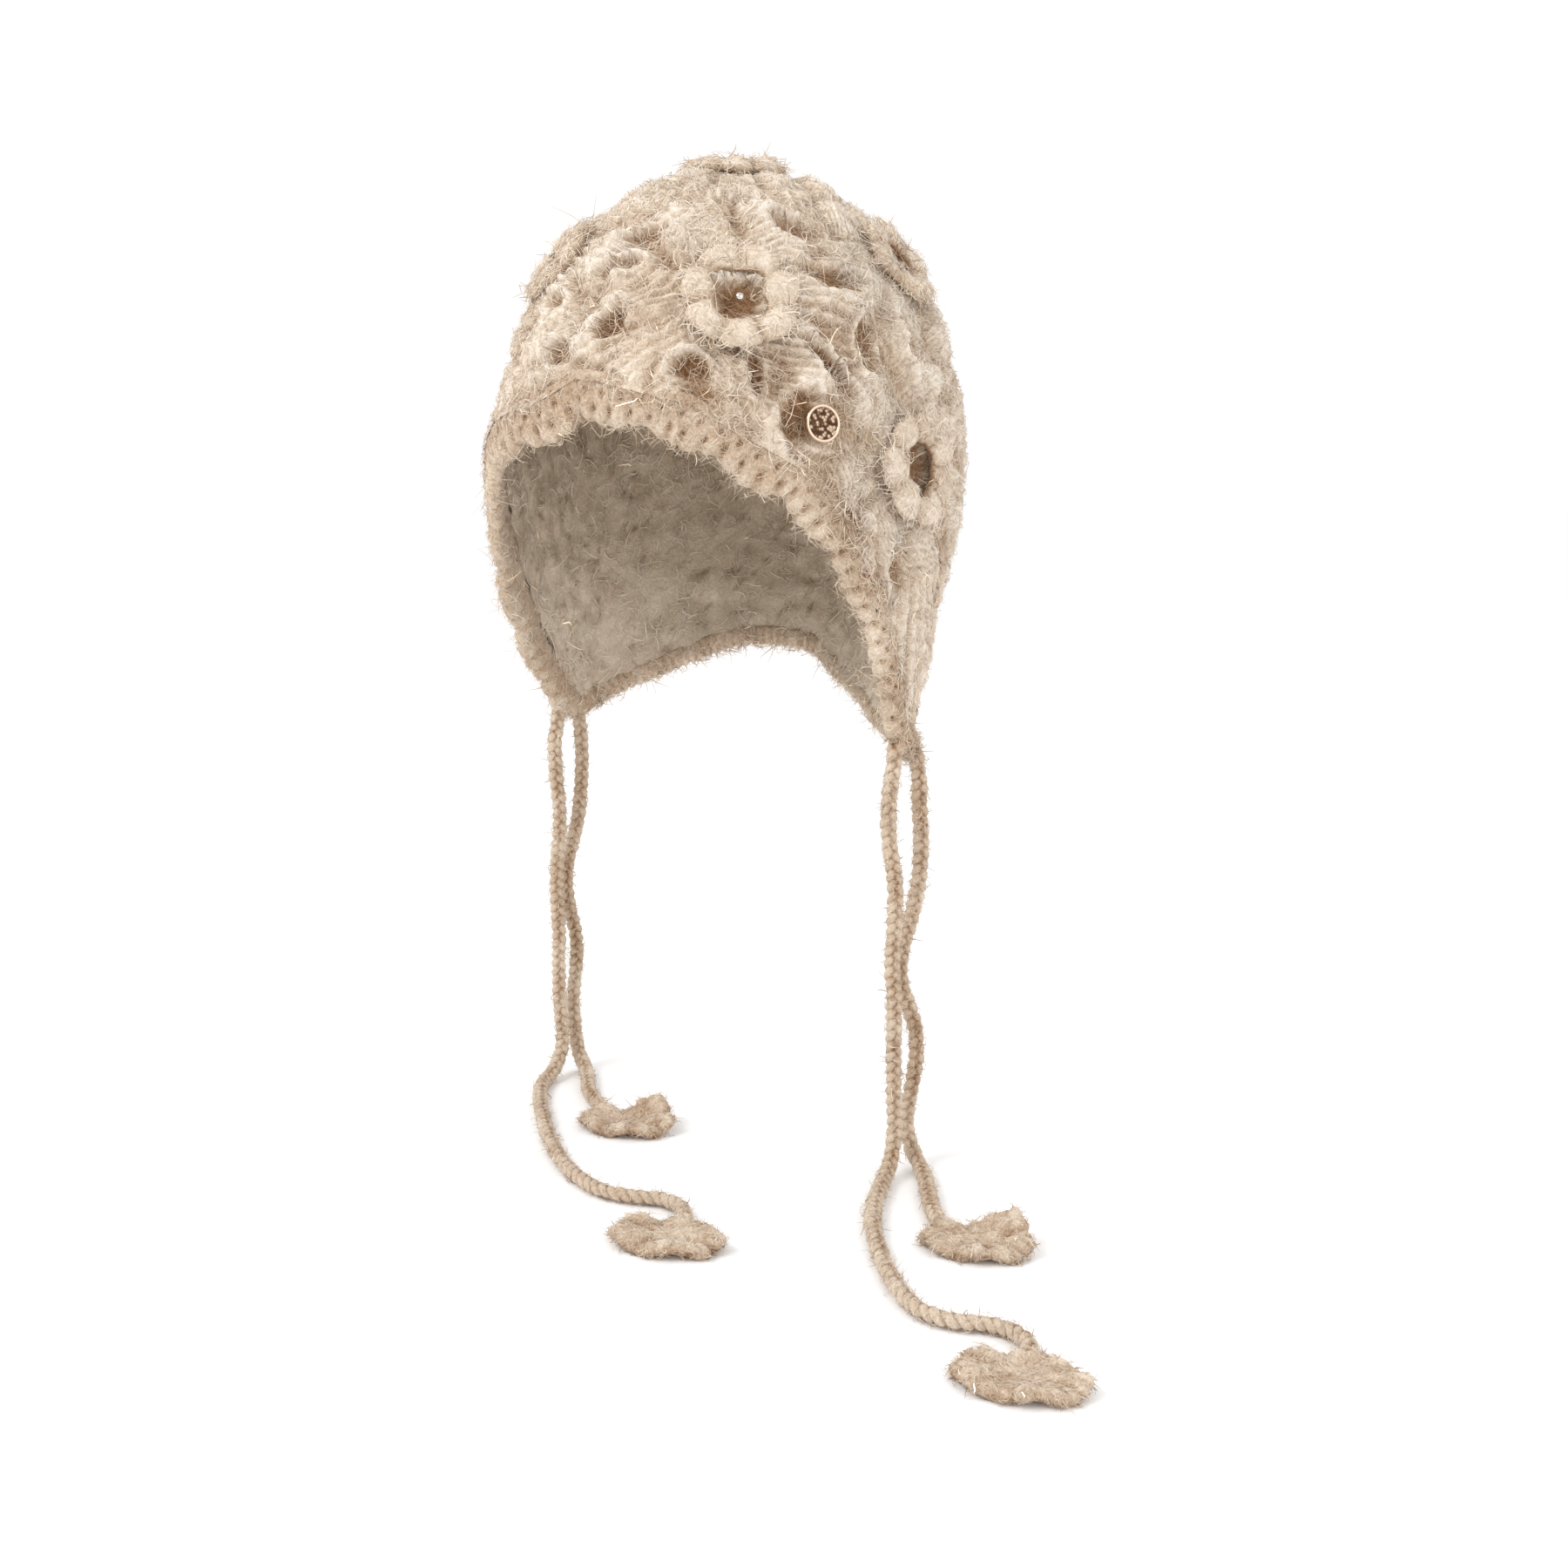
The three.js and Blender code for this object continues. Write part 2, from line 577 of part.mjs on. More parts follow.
// Closed ring through sections that each hold the same number of points.
function ringGeometry(sections) {
  const positions = sections.flat().flatMap((point) => point.toArray());
  const sides = sections[0].length;
  const index = [];
  for (let s = 0; s < sections.length; s++) {
    const next = ((s + 1) % sections.length) * sides;
    for (let k = 0; k < sides; k++) {
      const a = s * sides + k;
      const b = s * sides + ((k + 1) % sides);
      const c = next + ((k + 1) % sides);
      const d = next + k;
      index.push(a, c, d, a, b, c);
    }
  }
  const geometry = new THREE.BufferGeometry();
  geometry.setAttribute('position', new THREE.Float32BufferAttribute(positions, 3));
  geometry.setIndex(index);
  geometry.computeVertexNormals();
  return geometry;
}

// Where a round piece of a given radius comes to rest on the finished crown, looked for from outside.
const seatProbes = 12;

function seatOnBody(body, frame, radius) {
  body.updateMatrixWorld();
  const inward = frame.out.clone().negate();
  const spots = [new THREE.Vector3()];
  for (let i = 0; i < seatProbes; i++) {
    const angle = 2 * Math.PI * i / seatProbes;
    spots.push(
      frame.side.clone().multiplyScalar(Math.cos(angle) * radius)
        .addScaledVector(frame.up, Math.sin(angle) * radius),
    );
  }
  const heights = spots.map((spot) => {
    const start = spot.add(frame.origin).addScaledVector(frame.out, crownHalfWidth / 4);
    const hit = new THREE.Raycaster(start, inward).intersectObject(body)[0];
    return hit.point.sub(frame.origin).dot(frame.out);
  });
  return frame.origin.clone().addScaledVector(frame.out, Math.max(...heights) + pieceGap);
}

// Ruffled flower at the end of a tie, lying on the surface.
const endFlowerSides = 24;
const endFlowerPetals = 8;
const endFlowerRings = [0.36, 0.72, 1]; // rings of its top, as shares of the radius
const endFlowerFoot = 0.96; // outer ring of its underside
const endFlowerNotch = 0.09; // how deep the rim is cut between two petals
const endFlowerRounding = 0.35; // how much thinner the rim is than the middle
const endFlowerHeart = 0.8; // height of the middle, as a share of the thickness
const raisedPetalNarrowness = 6;

function buildEndFlower(radius, liftedPetal) {
  const positions = [];
  const index = [];
  const push = (x, y, z) => positions.push(x, y, z) / 3 - 1;
  const ring = (share, top) => {
    const vertices = [];
    for (let i = 0; i < endFlowerSides; i++) {
      const angle = 2 * Math.PI * i / endFlowerSides;
      const lobe = Math.abs(Math.cos(angle * endFlowerPetals / 2));
      const reach = radius * share * (1 - endFlowerNotch * share * (1 - lobe));
      const near = Math.max(0, Math.cos(angle - radians(raisedPetalTurn))) ** raisedPetalNarrowness;
      const lift = liftedPetal * near * share ** 2;
      const ruffle = endFlowerRuffle * share * (0.5 + 0.5 * Math.cos(angle * endFlowerWaves));
      const rounded = top ? endFlowerThickness * (1 - endFlowerRounding * share ** 4) : 0;
      const y = Math.sin(angle) * reach * endFlowerOval;
      vertices.push(push(Math.cos(angle) * reach, y, lift + ruffle + rounded));
    }
    return vertices;
  };
  const topCentre = push(0, 0, endFlowerThickness * endFlowerHeart);
  const top = endFlowerRings.map((share) => ring(share, true));
  const bottomCentre = push(0, 0, 0);
  const bottom = [ring(endFlowerRings[1], false), ring(endFlowerFoot, false)];
  for (let i = 0; i < endFlowerSides; i++) {
    const j = (i + 1) % endFlowerSides;
    index.push(topCentre, top[0][i], top[0][j]);
    index.push(bottomCentre, bottom[0][j], bottom[0][i]);
    const stitch = (upper, lower) => {
      index.push(upper[i], lower[i], lower[j]);
      index.push(upper[i], lower[j], upper[j]);
    };
    stitch(top[0], top[1]);
    stitch(top[1], top[2]);
    stitch(top[2], bottom[1]);
    stitch(bottom[1], bottom[0]);
  }
  const geometry = new THREE.BufferGeometry();
  geometry.setAttribute('position', new THREE.Float32BufferAttribute(positions, 3));
  geometry.setIndex(index);
  geometry.computeVertexNormals();
  return geometry;
}

// Level of the underside of the edges over the end of a cord, looked for from below.
function undersideOver(edges, x, y) {
  for (const edge of edges) edge.updateMatrixWorld();
  const up = new THREE.Vector3(0, 0, 1);
  const spots = [[0, 0]];
  for (let i = 0; i < cordSides; i++) {
    const angle = 2 * Math.PI * (i + 0.5) / cordSides;
    spots.push([Math.cos(angle) * cordDiameter / 2, Math.sin(angle) * cordDiameter / 2]);
  }
  const levels = spots.map(([dx, dy]) => {
    const ray = new THREE.Raycaster(new THREE.Vector3(x + dx, y + dy, restLevel), up);
    return ray.intersectObjects(edges)[0]?.point.z ?? Infinity;
  });
  return Math.min(...levels);
}

// Point of an end flower's rim and its outward normal, both from the flower's middle.
function rimOf(radius, joint) {
  const [cos, sin] = [Math.cos(radians(joint)), Math.sin(radians(joint))];
  const turn = new THREE.Euler(0, 0, radians(endFlowerTurn));
  const rim = new THREE.Vector3(cos * radius, sin * radius * endFlowerOval, 0).applyEuler(turn);
  const normal = new THREE.Vector3(cos * endFlowerOval, sin, 0).normalize().applyEuler(turn);
  return { rim, normal };
}

// A tie hangs, lies and ends square to the rim of its flower.
function tiePoints(exit, steps, flowerMiddle, { rim, normal }) {
  const floor = restLevel + cordDiameter / 2;
  const route = steps.map(([across, along, rise]) =>
    new THREE.Vector3(exit.x + across, exit.y + along, floor + rise * tieDrop));
  const end = flowerMiddle.clone().setZ(floor).add(rim).addScaledVector(normal, pieceGap);
  const before = end.clone().addScaledVector(normal, tieEndStraight);
  return [exit, ...route, before, end];
}

function buildCord(points) {
  const route = new THREE.CatmullRomCurve3(points, false, 'centripetal');
  const section = new THREE.Shape();
  for (let i = 0; i < cordSides; i++) {
    const angle = 2 * Math.PI * (i + 0.5) / cordSides;
    const x = Math.cos(angle) * cordDiameter / 2;
    const y = Math.sin(angle) * cordDiameter / 2;
    if (i === 0) section.moveTo(x, y);
    else section.lineTo(x, y);
  }
  section.closePath();
  const steps = Math.round(route.getLength() / cordStep);
  return new THREE.ExtrudeGeometry(section, { steps, bevelEnabled: false, extrudePath: route });
}

const body = addPiece('hat_body', buildBody(), crownWool);
const border = addPiece('front_border', buildBorder(), borderWool);
const hem = addPiece('hem_edge', buildHem(), borderWool);

for (const row of flowerRows) addPiece(row.name, buildFlower(row), flowerWool);

// Small metal bead in the heart of the front flower
const beadFrame = seatFrame(beadPlace.turn, beadPlace.drop);
const bead = addPiece('flower_bead', new THREE.SphereGeometry(beadRadius, 12, 8), beadMetal);
bead.position.copy(seatOnBody(body, beadFrame, beadRadius)).addScaledVector(beadFrame.out, beadRadius);

// Round metal badge: a shallow dish with a raised rim, flat against the knit
const badgeFrame = seatFrame(badgePlace.turn, badgePlace.drop);
const badgeOutline = [
  [0, 0],
  [badgeRadius, 0],
  [badgeRadius, badgeThickness],
  [badgeRadius - badgeRimWidth, badgeThickness],
  [badgeRadius - badgeRimWidth, badgeThickness - badgeRimRise],
  [0, badgeThickness - badgeRimRise],
].map(([x, y]) => new THREE.Vector2(x, y));
const badge = addPiece('badge', new THREE.LatheGeometry(badgeOutline, 24), badgeMetal);
badge.quaternion.setFromUnitVectors(new THREE.Vector3(0, 1, 0), badgeFrame.out);
badge.position.copy(seatOnBody(body, badgeFrame, badgeRadius));

// Ties and their flowers
for (const [side, lengths] of Object.entries(tieRoutes)) {
  for (const [length, { front, flower, joint, steps }] of Object.entries(lengths)) {
    const isLong = length === 'long';
    const x = side === 'left' ? crownHalfWidth : -crownHalfWidth;
    const exit = new THREE.Vector3(x, -front, undersideOver([border, hem], x, -front) - pieceGap);
    const radius = isLong ? endFlowerLongRadius : endFlowerShortRadius;
    const middle = new THREE.Vector3(exit.x + flower.across, exit.y + flower.along, restLevel);
    const points = tiePoints(exit, steps, middle, rimOf(radius, joint));
    addPiece(`cord_${side}_${length}`, buildCord(points), tieWool);
    const endFlower = addPiece(
      `tie_flower_${side}_${length}`, buildEndFlower(radius, isLong ? 0 : raisedPetal), flowerWool,
    );
    endFlower.position.copy(middle);
    endFlower.rotation.z = radians(endFlowerTurn);
  }
}

export default hat;
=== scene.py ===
# %% [markdown]
# # A crocheted bonnet with earflaps, raised flowers and tie cords
#
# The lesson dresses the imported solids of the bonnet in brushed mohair. Lengths are metres, +Z is up, the
# face opening looks along -Y and the wearer's left side is +X. After the sizes, the camera and the helpers
# come the materials, the four tie cords, the crown and its inside, the edges, the flowers and the metal
# pieces, and last the loose hairs, the floor and the light.

# %% Imports and the frame
import math

import bpy
import numpy as np
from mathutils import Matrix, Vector


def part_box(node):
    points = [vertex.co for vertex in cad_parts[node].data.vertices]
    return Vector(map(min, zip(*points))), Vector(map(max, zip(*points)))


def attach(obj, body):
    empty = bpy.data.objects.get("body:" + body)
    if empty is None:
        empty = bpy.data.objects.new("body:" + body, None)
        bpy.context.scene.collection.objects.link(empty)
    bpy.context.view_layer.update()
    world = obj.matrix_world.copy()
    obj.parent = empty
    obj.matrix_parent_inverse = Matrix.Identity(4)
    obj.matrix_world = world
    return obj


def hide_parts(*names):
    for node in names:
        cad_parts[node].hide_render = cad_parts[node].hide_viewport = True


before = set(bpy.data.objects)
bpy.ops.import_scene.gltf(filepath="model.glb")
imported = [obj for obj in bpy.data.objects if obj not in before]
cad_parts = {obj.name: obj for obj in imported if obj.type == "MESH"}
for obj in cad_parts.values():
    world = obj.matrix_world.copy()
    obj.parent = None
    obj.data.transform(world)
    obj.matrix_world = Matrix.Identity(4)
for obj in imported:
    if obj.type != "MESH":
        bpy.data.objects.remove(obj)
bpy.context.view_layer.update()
MM = 0.001
print("frame has", len(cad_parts), "nodes")

# %% [markdown]
# ## Driving dimensions
# A hat is sold by the girth of a head, so the crown's rise, half width, front and back come first, and the
# flaps, the wall and the ties have sizes of their own. They could be read back from the solids, but written
# out they show what each later shape depends on. The origin is the inner top of the crown.

# %% Sizes
CROWN_RISE = 112 * MM
CROWN_HALF_WIDTH = 88 * MM
CROWN_FRONT = 100 * MM
CROWN_BACK = 98 * MM
FLAP_REACH = 108 * MM
KNIT_WALL = 6 * MM
TIE_DROP = 162 * MM
TIE_DIAMETER = 6.2 * MM

BORDER_WIDTH = 12.5 * MM
BORDER_TIP_WIDTH = 6 * MM
HEM_WIDTH = 4.5 * MM
PICOT_PITCH = 7.6 * MM
SCALLOP_PITCH = 31 * MM
SCALLOP_RISE = 4.2 * MM
PICOT_RISE = 1.3 * MM

FLOWER_HEIGHT = 5.5 * MM
USUAL_FLOWER_SINK = 1.3 * MM
FLOWER_SINK = {"flower_top": 2.4 * MM, "flower_right_upper": 2.2 * MM}
END_FLOWER_RADIUS = {"long": 21.5 * MM, "short": 20 * MM}
END_FLOWER_THICKNESS = 5 * MM

WIDEST = KNIT_WALL - CROWN_RISE
REST = WIDEST - FLAP_REACH - TIE_DROP
print("the crown is", round(2 * CROWN_HALF_WIDTH / MM), "mm wide")
print("the ties lie", round(-REST / MM), "mm below the inner top")

# %% [markdown]
# ## The plan, the lower edge, the hollows and the flowers
# The real hat's plan narrows at the nape, and its lower edge runs from the brow down to the flaps and back
# up to the nape. Both could be pulled into shape on a mesh, but a few shares of the sizes above keep their
# form when a size changes. The hollows and flowers have rows of their own. Turns are degrees from the middle
# of the brow towards the wearer's left.

# %% Plan and lower edge
# drop is a share of FLAP_REACH below the widest level, power the roundness of the rear half
PLAN = {
    "drop": [-1.1, -0.46, -0.14, 0, 0.19, 0.39, 0.63, 0.8, 1.1],
    "side": [1, 1, 1, 1, 1.01, 1.02, 1.03, 1.02, 1],
    "front": [1, 1, 1.03, 1.05, 1.08, 1.1, 1.1, 1.1, 1.1],
    "back": [1, 1, 1, 0.99, 0.92, 0.82, 0.67, 0.58, 0.49],
    "power": [2, 2, 2, 2, 2, 1.85, 1.6, 1.4, 1.3],
}
RIM = {
    "turn": [0, 8, 16, 25, 35, 42, 50, 60, 65, 70, 75, 80, 82.5, 85, 87.5, 92.5, 97.5, 112, 126, 140, 150,
             160, 170, 180],
    "left": [-0.23, -0.285, -0.27, -0.24, -0.205, -0.15, -0.085, 0, 0.075, 0.18, 0.325, 0.52, 0.66, 0.83,
             0.92, 0.952, 0.962, 0.968, 0.96, 0.92, 0.86, 0.815, 0.778, 0.74],
    "right": [-0.23, -0.195, -0.18, -0.15, -0.065, 0.02, 0.11, 0.32, 0.46, 0.585, 0.715, 0.84, 0.885,
              0.915, 0.93, 0.935, 0.925, 0.87, 0.8, 0.715, 0.685, 0.685, 0.705, 0.74],
}
print("the lower edge has", len(RIM["turn"]), "places on each side")

# %% Hollows and flowers
# turn, drop as a share of CROWN_RISE below the outer top, long and wide as shares of CROWN_RISE, tilt in
# degrees from level, depth as a share of the deepest hollow and bend as the curve of a crescent
HOLLOW_COLUMNS = ("turn", "drop", "long", "wide", "tilt", "depth", "bend")
HOLLOWS = [
    (14, 0.26, 0.15, 0.05, 20, 0.8, 0.1),
    (10, 0.37, 0.16, 0.05, 20, 0.7, 0.1),
    (12, 0.54, 0.13, 0.07, 50, 1.0, -0.3),
    (-10, 0.47, 0.08, 0.06, 0, 0.7, 0),
    (-2, 0.63, 0.08, 0.06, 90, 0.8, 0),
    (35, 0.69, 0.11, 0.08, 0, 1.0, 0.3),
    (50, 0.7, 0.13, 0.05, 90, 1.0, 0),
    (66, 0.23, 0.17, 0.08, -15, 1.0, -0.35),
    (73, 0.39, 0.22, 0.08, -15, 1.0, -0.3),
    (80, 0.61, 0.2, 0.07, 80, 1.0, 0.45),
    (68, 0.69, 0.24, 0.05, -50, 1.0, 0),
    (94, 0.59, 0.18, 0.05, 90, 0.8, 0),
    (60, 0.84, 0.16, 0.12, 60, 0.8, 0),
    (46, 0.47, 0.16, 0.11, 0, 1.0, 0),
    (90, 1, 0.2, 0.16, 90, 1.0, 0),
    (72, 1.17, 0.12, 0.07, 0, 0.7, 0.2),
    (84, 1.32, 0.13, 0.07, 90, 0.6, 0),
    (108, 1.1, 0.12, 0.07, 90, 0.7, 0),
]
HIDDEN_HALF_TURN = 178

FLOWER_COLUMNS = ("name", "turn", "drop", "radius", "hollow", "petals", "start")
FLOWERS = [
    ("flower_front", 46, 0.47, 0.24, 0.12, 7, 10),
    ("flower_top", 40, 0.002, 0.22, 0.06, 8, 0),
    ("flower_left", 90, 0.995, 0.23, 0.13, 7, 25),
    ("flower_left_upper", 106, 0.33, 0.2, 0.09, 6, 0),
    ("flower_right_upper", -26, 0.33, 0.19, 0.08, 6, 15),
    ("flower_right", -88, 0.9, 0.23, 0.13, 7, 5),
    ("flower_right_back", -122, 0.42, 0.22, 0.11, 7, 30),
    ("flower_back", 168, 0.62, 0.24, 0.12, 7, 12),
    ("flower_nape", -148, 1.12, 0.22, 0.12, 7, 0),
]
BADGE_SEAT = (64, 0.86)
BEAD_SEAT = (46, 0.475)
hollow_rows = [dict(zip(HOLLOW_COLUMNS, row)) for row in HOLLOWS]
flower_rows = [dict(zip(FLOWER_COLUMNS, row)) for row in FLOWERS]
print(len(hollow_rows), "hollows,", len(flower_rows), "flowers")

# %% [markdown]
# ## The camera
# The picture is taken from in front of the wearer's left shoulder, half a head below the crown. The distance
# sets how much smaller the far ties look, so it was matched first, and the lens follows from it.

# %% Camera
CAMERA_PLACE = (0.4764, -0.5389, -0.091)
CAMERA_TILT = math.radians(78.7)
CAMERA_TURN = math.radians(40)
CAMERA_LENS = 41.12
CAMERA_SENSOR = 36

camera_data = bpy.data.cameras.new("camera")
camera_data.sensor_width = CAMERA_SENSOR
camera_data.sensor_height = CAMERA_SENSOR
camera_data.lens = CAMERA_LENS
camera_data.clip_start = 10 * MM
camera = bpy.data.objects.new("camera", camera_data)
camera.location = CAMERA_PLACE
camera.rotation_euler = (CAMERA_TILT, 0, CAMERA_TURN)
bpy.context.scene.collection.objects.link(camera)
bpy.context.scene.camera = camera
print("camera at", tuple(round(c, 3) for c in camera.location))

# %% [markdown]
# ## Helpers for colour, noise and meshes
# Colours are written as sRGB codes, while Blender reckons in linear light, so one function turns them.
# Crochet is uneven, and Blender's own noise could displace it, but the hairs have to lie on the same lumps,
# so the noise is worked out here with numpy. Meshes are made from arrays, which is quick for many points.

# %% Colours
def linear(code):
    """An sRGB hex code as linear red, green, blue and full alpha."""
    values = [int(code[i:i + 2], 16) / 255 for i in (1, 3, 5)]
    return [v / 12.92 if v <= 0.04045 else ((v + 0.055) / 1.055) ** 2.4 for v in values] + [1]


print("the middle grey #808080 is", round(linear("#808080")[0], 3), "in linear light")


# %% Noise
def lattice(cells, seed):
    """A number from 0 to 1 for each whole-numbered cell."""
    x, y, z = (cells[..., i].astype(np.int64) for i in range(3))
    mixed = (x * 73856093) ^ (y * 19349663) ^ (z * 83492791) ^ (seed * 2654435761)
    mixed = (mixed ^ (mixed >> 13)) * 1274126177
    return ((mixed ^ (mixed >> 16)) & 0xFFFFF) / 0xFFFFF


def noise(points, size, seed=0):
    """Smooth noise from -1 to 1 whose lumps are size wide."""
    scaled = points / size
    base = np.floor(scaled).astype(np.int64)
    way = scaled - base
    way = way * way * (3 - 2 * way)
    total = 0
    for corner in np.ndindex(2, 2, 2):
        weight = np.prod(np.where(np.array(corner) == 1, way, 1 - way), axis=-1)
        total = total + weight * lattice(base + np.array(corner), seed)
    return total * 2 - 1


print("noise along a line:", noise(np.linspace(0, 0.1, 5)[:, None] * [1, 1, 1], 20 * MM).round(2))


# %% Directions and soft steps
def unit(vectors):
    """Vectors of length one."""
    length = np.linalg.norm(vectors, axis=-1, keepdims=True)
    return vectors / np.maximum(length, 1e-12)


def smooth_step(x, low, high):
    """Rises softly from 0 at low to 1 at high."""
    t = np.clip((x - low) / (high - low), 0, 1)
    return t * t * (3 - 2 * t)


print("a soft step at a quarter of its way is", smooth_step(0.25, 0, 1).round(3))


# %% Meshes
def make_mesh(name, points, faces, materials, fields=None, face_material=None, smooth=True):
    """An object from arrays of points and faces, with named point attributes."""
    points = np.asarray(points, float).reshape(-1, 3)
    faces = np.asarray(faces, int)
    mesh = bpy.data.meshes.new(name)
    mesh.vertices.add(len(points))
    mesh.vertices.foreach_set("co", points.ravel())
    sides = faces.shape[1]
    mesh.loops.add(faces.size)
    mesh.loops.foreach_set("vertex_index", faces.ravel())
    mesh.polygons.add(len(faces))
    mesh.polygons.foreach_set("loop_start", np.arange(len(faces)) * sides)
    for material in materials:
        mesh.materials.append(material)
    if face_material is not None:
        mesh.polygons.foreach_set("material_index", face_material)
    for field, values in (fields or {}).items():
        attribute = mesh.attributes.new(field, "FLOAT", "POINT")
        attribute.data.foreach_set("value", np.asarray(values, float).ravel())
    mesh.polygons.foreach_set("use_smooth", np.full(len(faces), smooth))
    mesh.update(calc_edges=True)
    mesh.validate()
    piece = bpy.data.objects.new(name, mesh)
    bpy.context.scene.collection.objects.link(piece)
    return piece


def grid_faces(rows, columns, close_rows=False, close_columns=False, flip=False):
    """Quads over a grid of rows by columns, closed on itself where asked."""
    r = np.arange(rows if close_rows else rows - 1)
    c = np.arange(columns if close_columns else columns - 1)
    r, c = np.meshgrid(r, c, indexing="ij")
    r2, c2 = (r + 1) % rows, (c + 1) % columns
    quads = np.stack([r * columns + c, r * columns + c2, r2 * columns + c2, r2 * columns + c], axis=-1)
    quads = quads.reshape(-1, 4)
    return quads[:, ::-1] if flip else quads


def point_normals(points, faces):
    """Normals of the points of a mesh of quads."""
    corners = points[faces]
    face_normals = np.cross(corners[:, 2] - corners[:, 0], corners[:, 3] - corners[:, 1])
    normals = np.zeros_like(points)
    for k in range(4):
        np.add.at(normals, faces[:, k], face_normals)
    return unit(normals)


print("a grid of 3 by 4 points has", len(grid_faces(3, 4)), "faces")

# %% [markdown]
# ## Wool and metal
# The yarn is a mohair blend, crocheted and then brushed: matt, with a soft sheen where loose fibres catch
# the light. A picture of wool could be wrapped round the hat, but it would smear in the hollows, so the
# colour follows one attribute of the mesh. This is tone, how bright the yarn is painted. It carries painted
# shade, dark in deep hollows, creases and between parts, and painted light, pale on the tips of petals and
# other raised places. Fine noise breaks it up as the separate fibres do.

# %% Node helper
def add_node(tree, kind, settings=None, links=None):
    """A node with its settings. links gives each of its inputs a socket of another node."""
    node = tree.nodes.new(kind)
    for key, value in (settings or {}).items():
        if key == "stops":
            elements = node.color_ramp.elements
            while len(elements) < len(value):
                elements.new(0.5)
            for element, (place, code) in zip(elements, value):
                element.position = place
                element.color = linear(code)
        elif key in node.inputs:
            node.inputs[key].default_value = value
        else:
            setattr(node, key, value)
    for key, socket in (links or {}).items():
        tree.links.new(socket, node.inputs[key])
    return node


def new_material(name):
    """An empty material and its node tree."""
    material = bpy.data.materials.new(name)
    material.use_nodes = True
    material.node_tree.nodes.clear()
    return material, material.node_tree


# %% Wool
# Fibres are about 0.04 mm thick, too fine to show, so tufts of them are drawn about 1 mm wide
TUFT_RELIEF = 0.6 * MM
CLOUD_SIZE = 14 * MM
STREAK_SIZE = 2.2 * MM


def wool(name, stops, tuft_size=0.9 * MM, bump=0.5, sheen=0.25):
    """Brushed wool yarn. stops run from the deepest shade to the brightest hair."""
    material, tree = new_material(name)
    tone = add_node(tree, "ShaderNodeAttribute", {"attribute_name": "tone"}).outputs["Fac"]
    place = add_node(tree, "ShaderNodeTexCoord").outputs["Object"]
    tufts = add_node(tree, "ShaderNodeTexNoise",
                     {"Scale": 1 / tuft_size, "Detail": 3, "Roughness": 0.65, "Distortion": 0.6},
                     {"Vector": place}).outputs["Fac"]
    clouds = add_node(tree, "ShaderNodeTexNoise", {"Scale": 1 / CLOUD_SIZE, "Detail": 2},
                      {"Vector": place}).outputs["Fac"]
    spread = add_node(tree, "ShaderNodeMapRange",
                      {"From Min": 0.3, "From Max": 0.7, "To Min": -0.17, "To Max": 0.17},
                      {"Value": tufts}).outputs[0]
    drift = add_node(tree, "ShaderNodeMapRange",
                     {"From Min": 0.3, "From Max": 0.7, "To Min": -0.07, "To Max": 0.07},
                     {"Value": clouds}).outputs[0]
    mixed = add_node(tree, "ShaderNodeMath", {"operation": "ADD"}, {0: tone, 1: spread}).outputs[0]
    mixed = add_node(tree, "ShaderNodeMath", {"operation": "ADD"}, {0: mixed, 1: drift}).outputs[0]
    colour = add_node(tree, "ShaderNodeValToRGB", {"stops": stops}, {"Fac": mixed}).outputs["Color"]
    relief = add_node(tree, "ShaderNodeBump", {"Strength": bump, "Distance": TUFT_RELIEF},
                      {"Height": tufts}).outputs["Normal"]
    shader = add_node(tree, "ShaderNodeBsdfPrincipled",
                      {"Roughness": 0.85, "Sheen Weight": sheen, "Sheen Roughness": 0.45,
                       "Specular IOR Level": 0.25},
                      {"Base Color": colour, "Normal": relief})
    add_node(tree, "ShaderNodeOutputMaterial", links={"Surface": shader.outputs["BSDF"]})
    return material


def loose_fibre(name, stops):
    """Single hairs, smoother than the yarn: their colour is their own tone."""
    material, tree = new_material(name)
    tone = add_node(tree, "ShaderNodeAttribute", {"attribute_name": "tone"}).outputs["Fac"]
    place = add_node(tree, "ShaderNodeTexCoord").outputs["Object"]
    streaks = add_node(tree, "ShaderNodeTexNoise", {"Scale": 1 / STREAK_SIZE, "Detail": 1},
                       {"Vector": place}).outputs["Fac"]
    spread = add_node(tree, "ShaderNodeMapRange",
                      {"From Min": 0.3, "From Max": 0.7, "To Min": -0.1, "To Max": 0.1},
                      {"Value": streaks}).outputs[0]
    mixed = add_node(tree, "ShaderNodeMath", {"operation": "ADD"}, {0: tone, 1: spread}).outputs[0]
    colour = add_node(tree, "ShaderNodeValToRGB", {"stops": stops}, {"Fac": mixed}).outputs["Color"]
    shader = add_node(tree, "ShaderNodeBsdfPrincipled",
                      {"Roughness": 0.7, "Sheen Weight": 0.2, "Specular IOR Level": 0.3},
                      {"Base Color": colour})
    add_node(tree, "ShaderNodeOutputMaterial", links={"Surface": shader.outputs["BSDF"]})
    return material


# %% Kinds of wool
# Undyed cream mohair: warm brown where light is lost between the fibres, nearly white at their tips
CREAM = [(0.0, "#694629"), (0.22, "#937050"), (0.45, "#baa38b"), (0.7, "#d8c8b5"), (1.0, "#f1e8dc")]
# The reverse side lies in the hat's own shade, so it looks greyer and flatter
TAUPE = [(0.0, "#77614c"), (0.3, "#9f8c76"), (0.6, "#c3b29d"), (1.0, "#e2d5c3")]

# Brushed crochet scatters nearly all light: roughness 0.85, little gloss and a soft pale sheen
crown_wool = wool("brushed_mohair_crochet_crown", CREAM)
border_wool = wool("brushed_mohair_crochet_border", CREAM)
flower_wool = wool("brushed_mohair_crochet_flowers", CREAM)
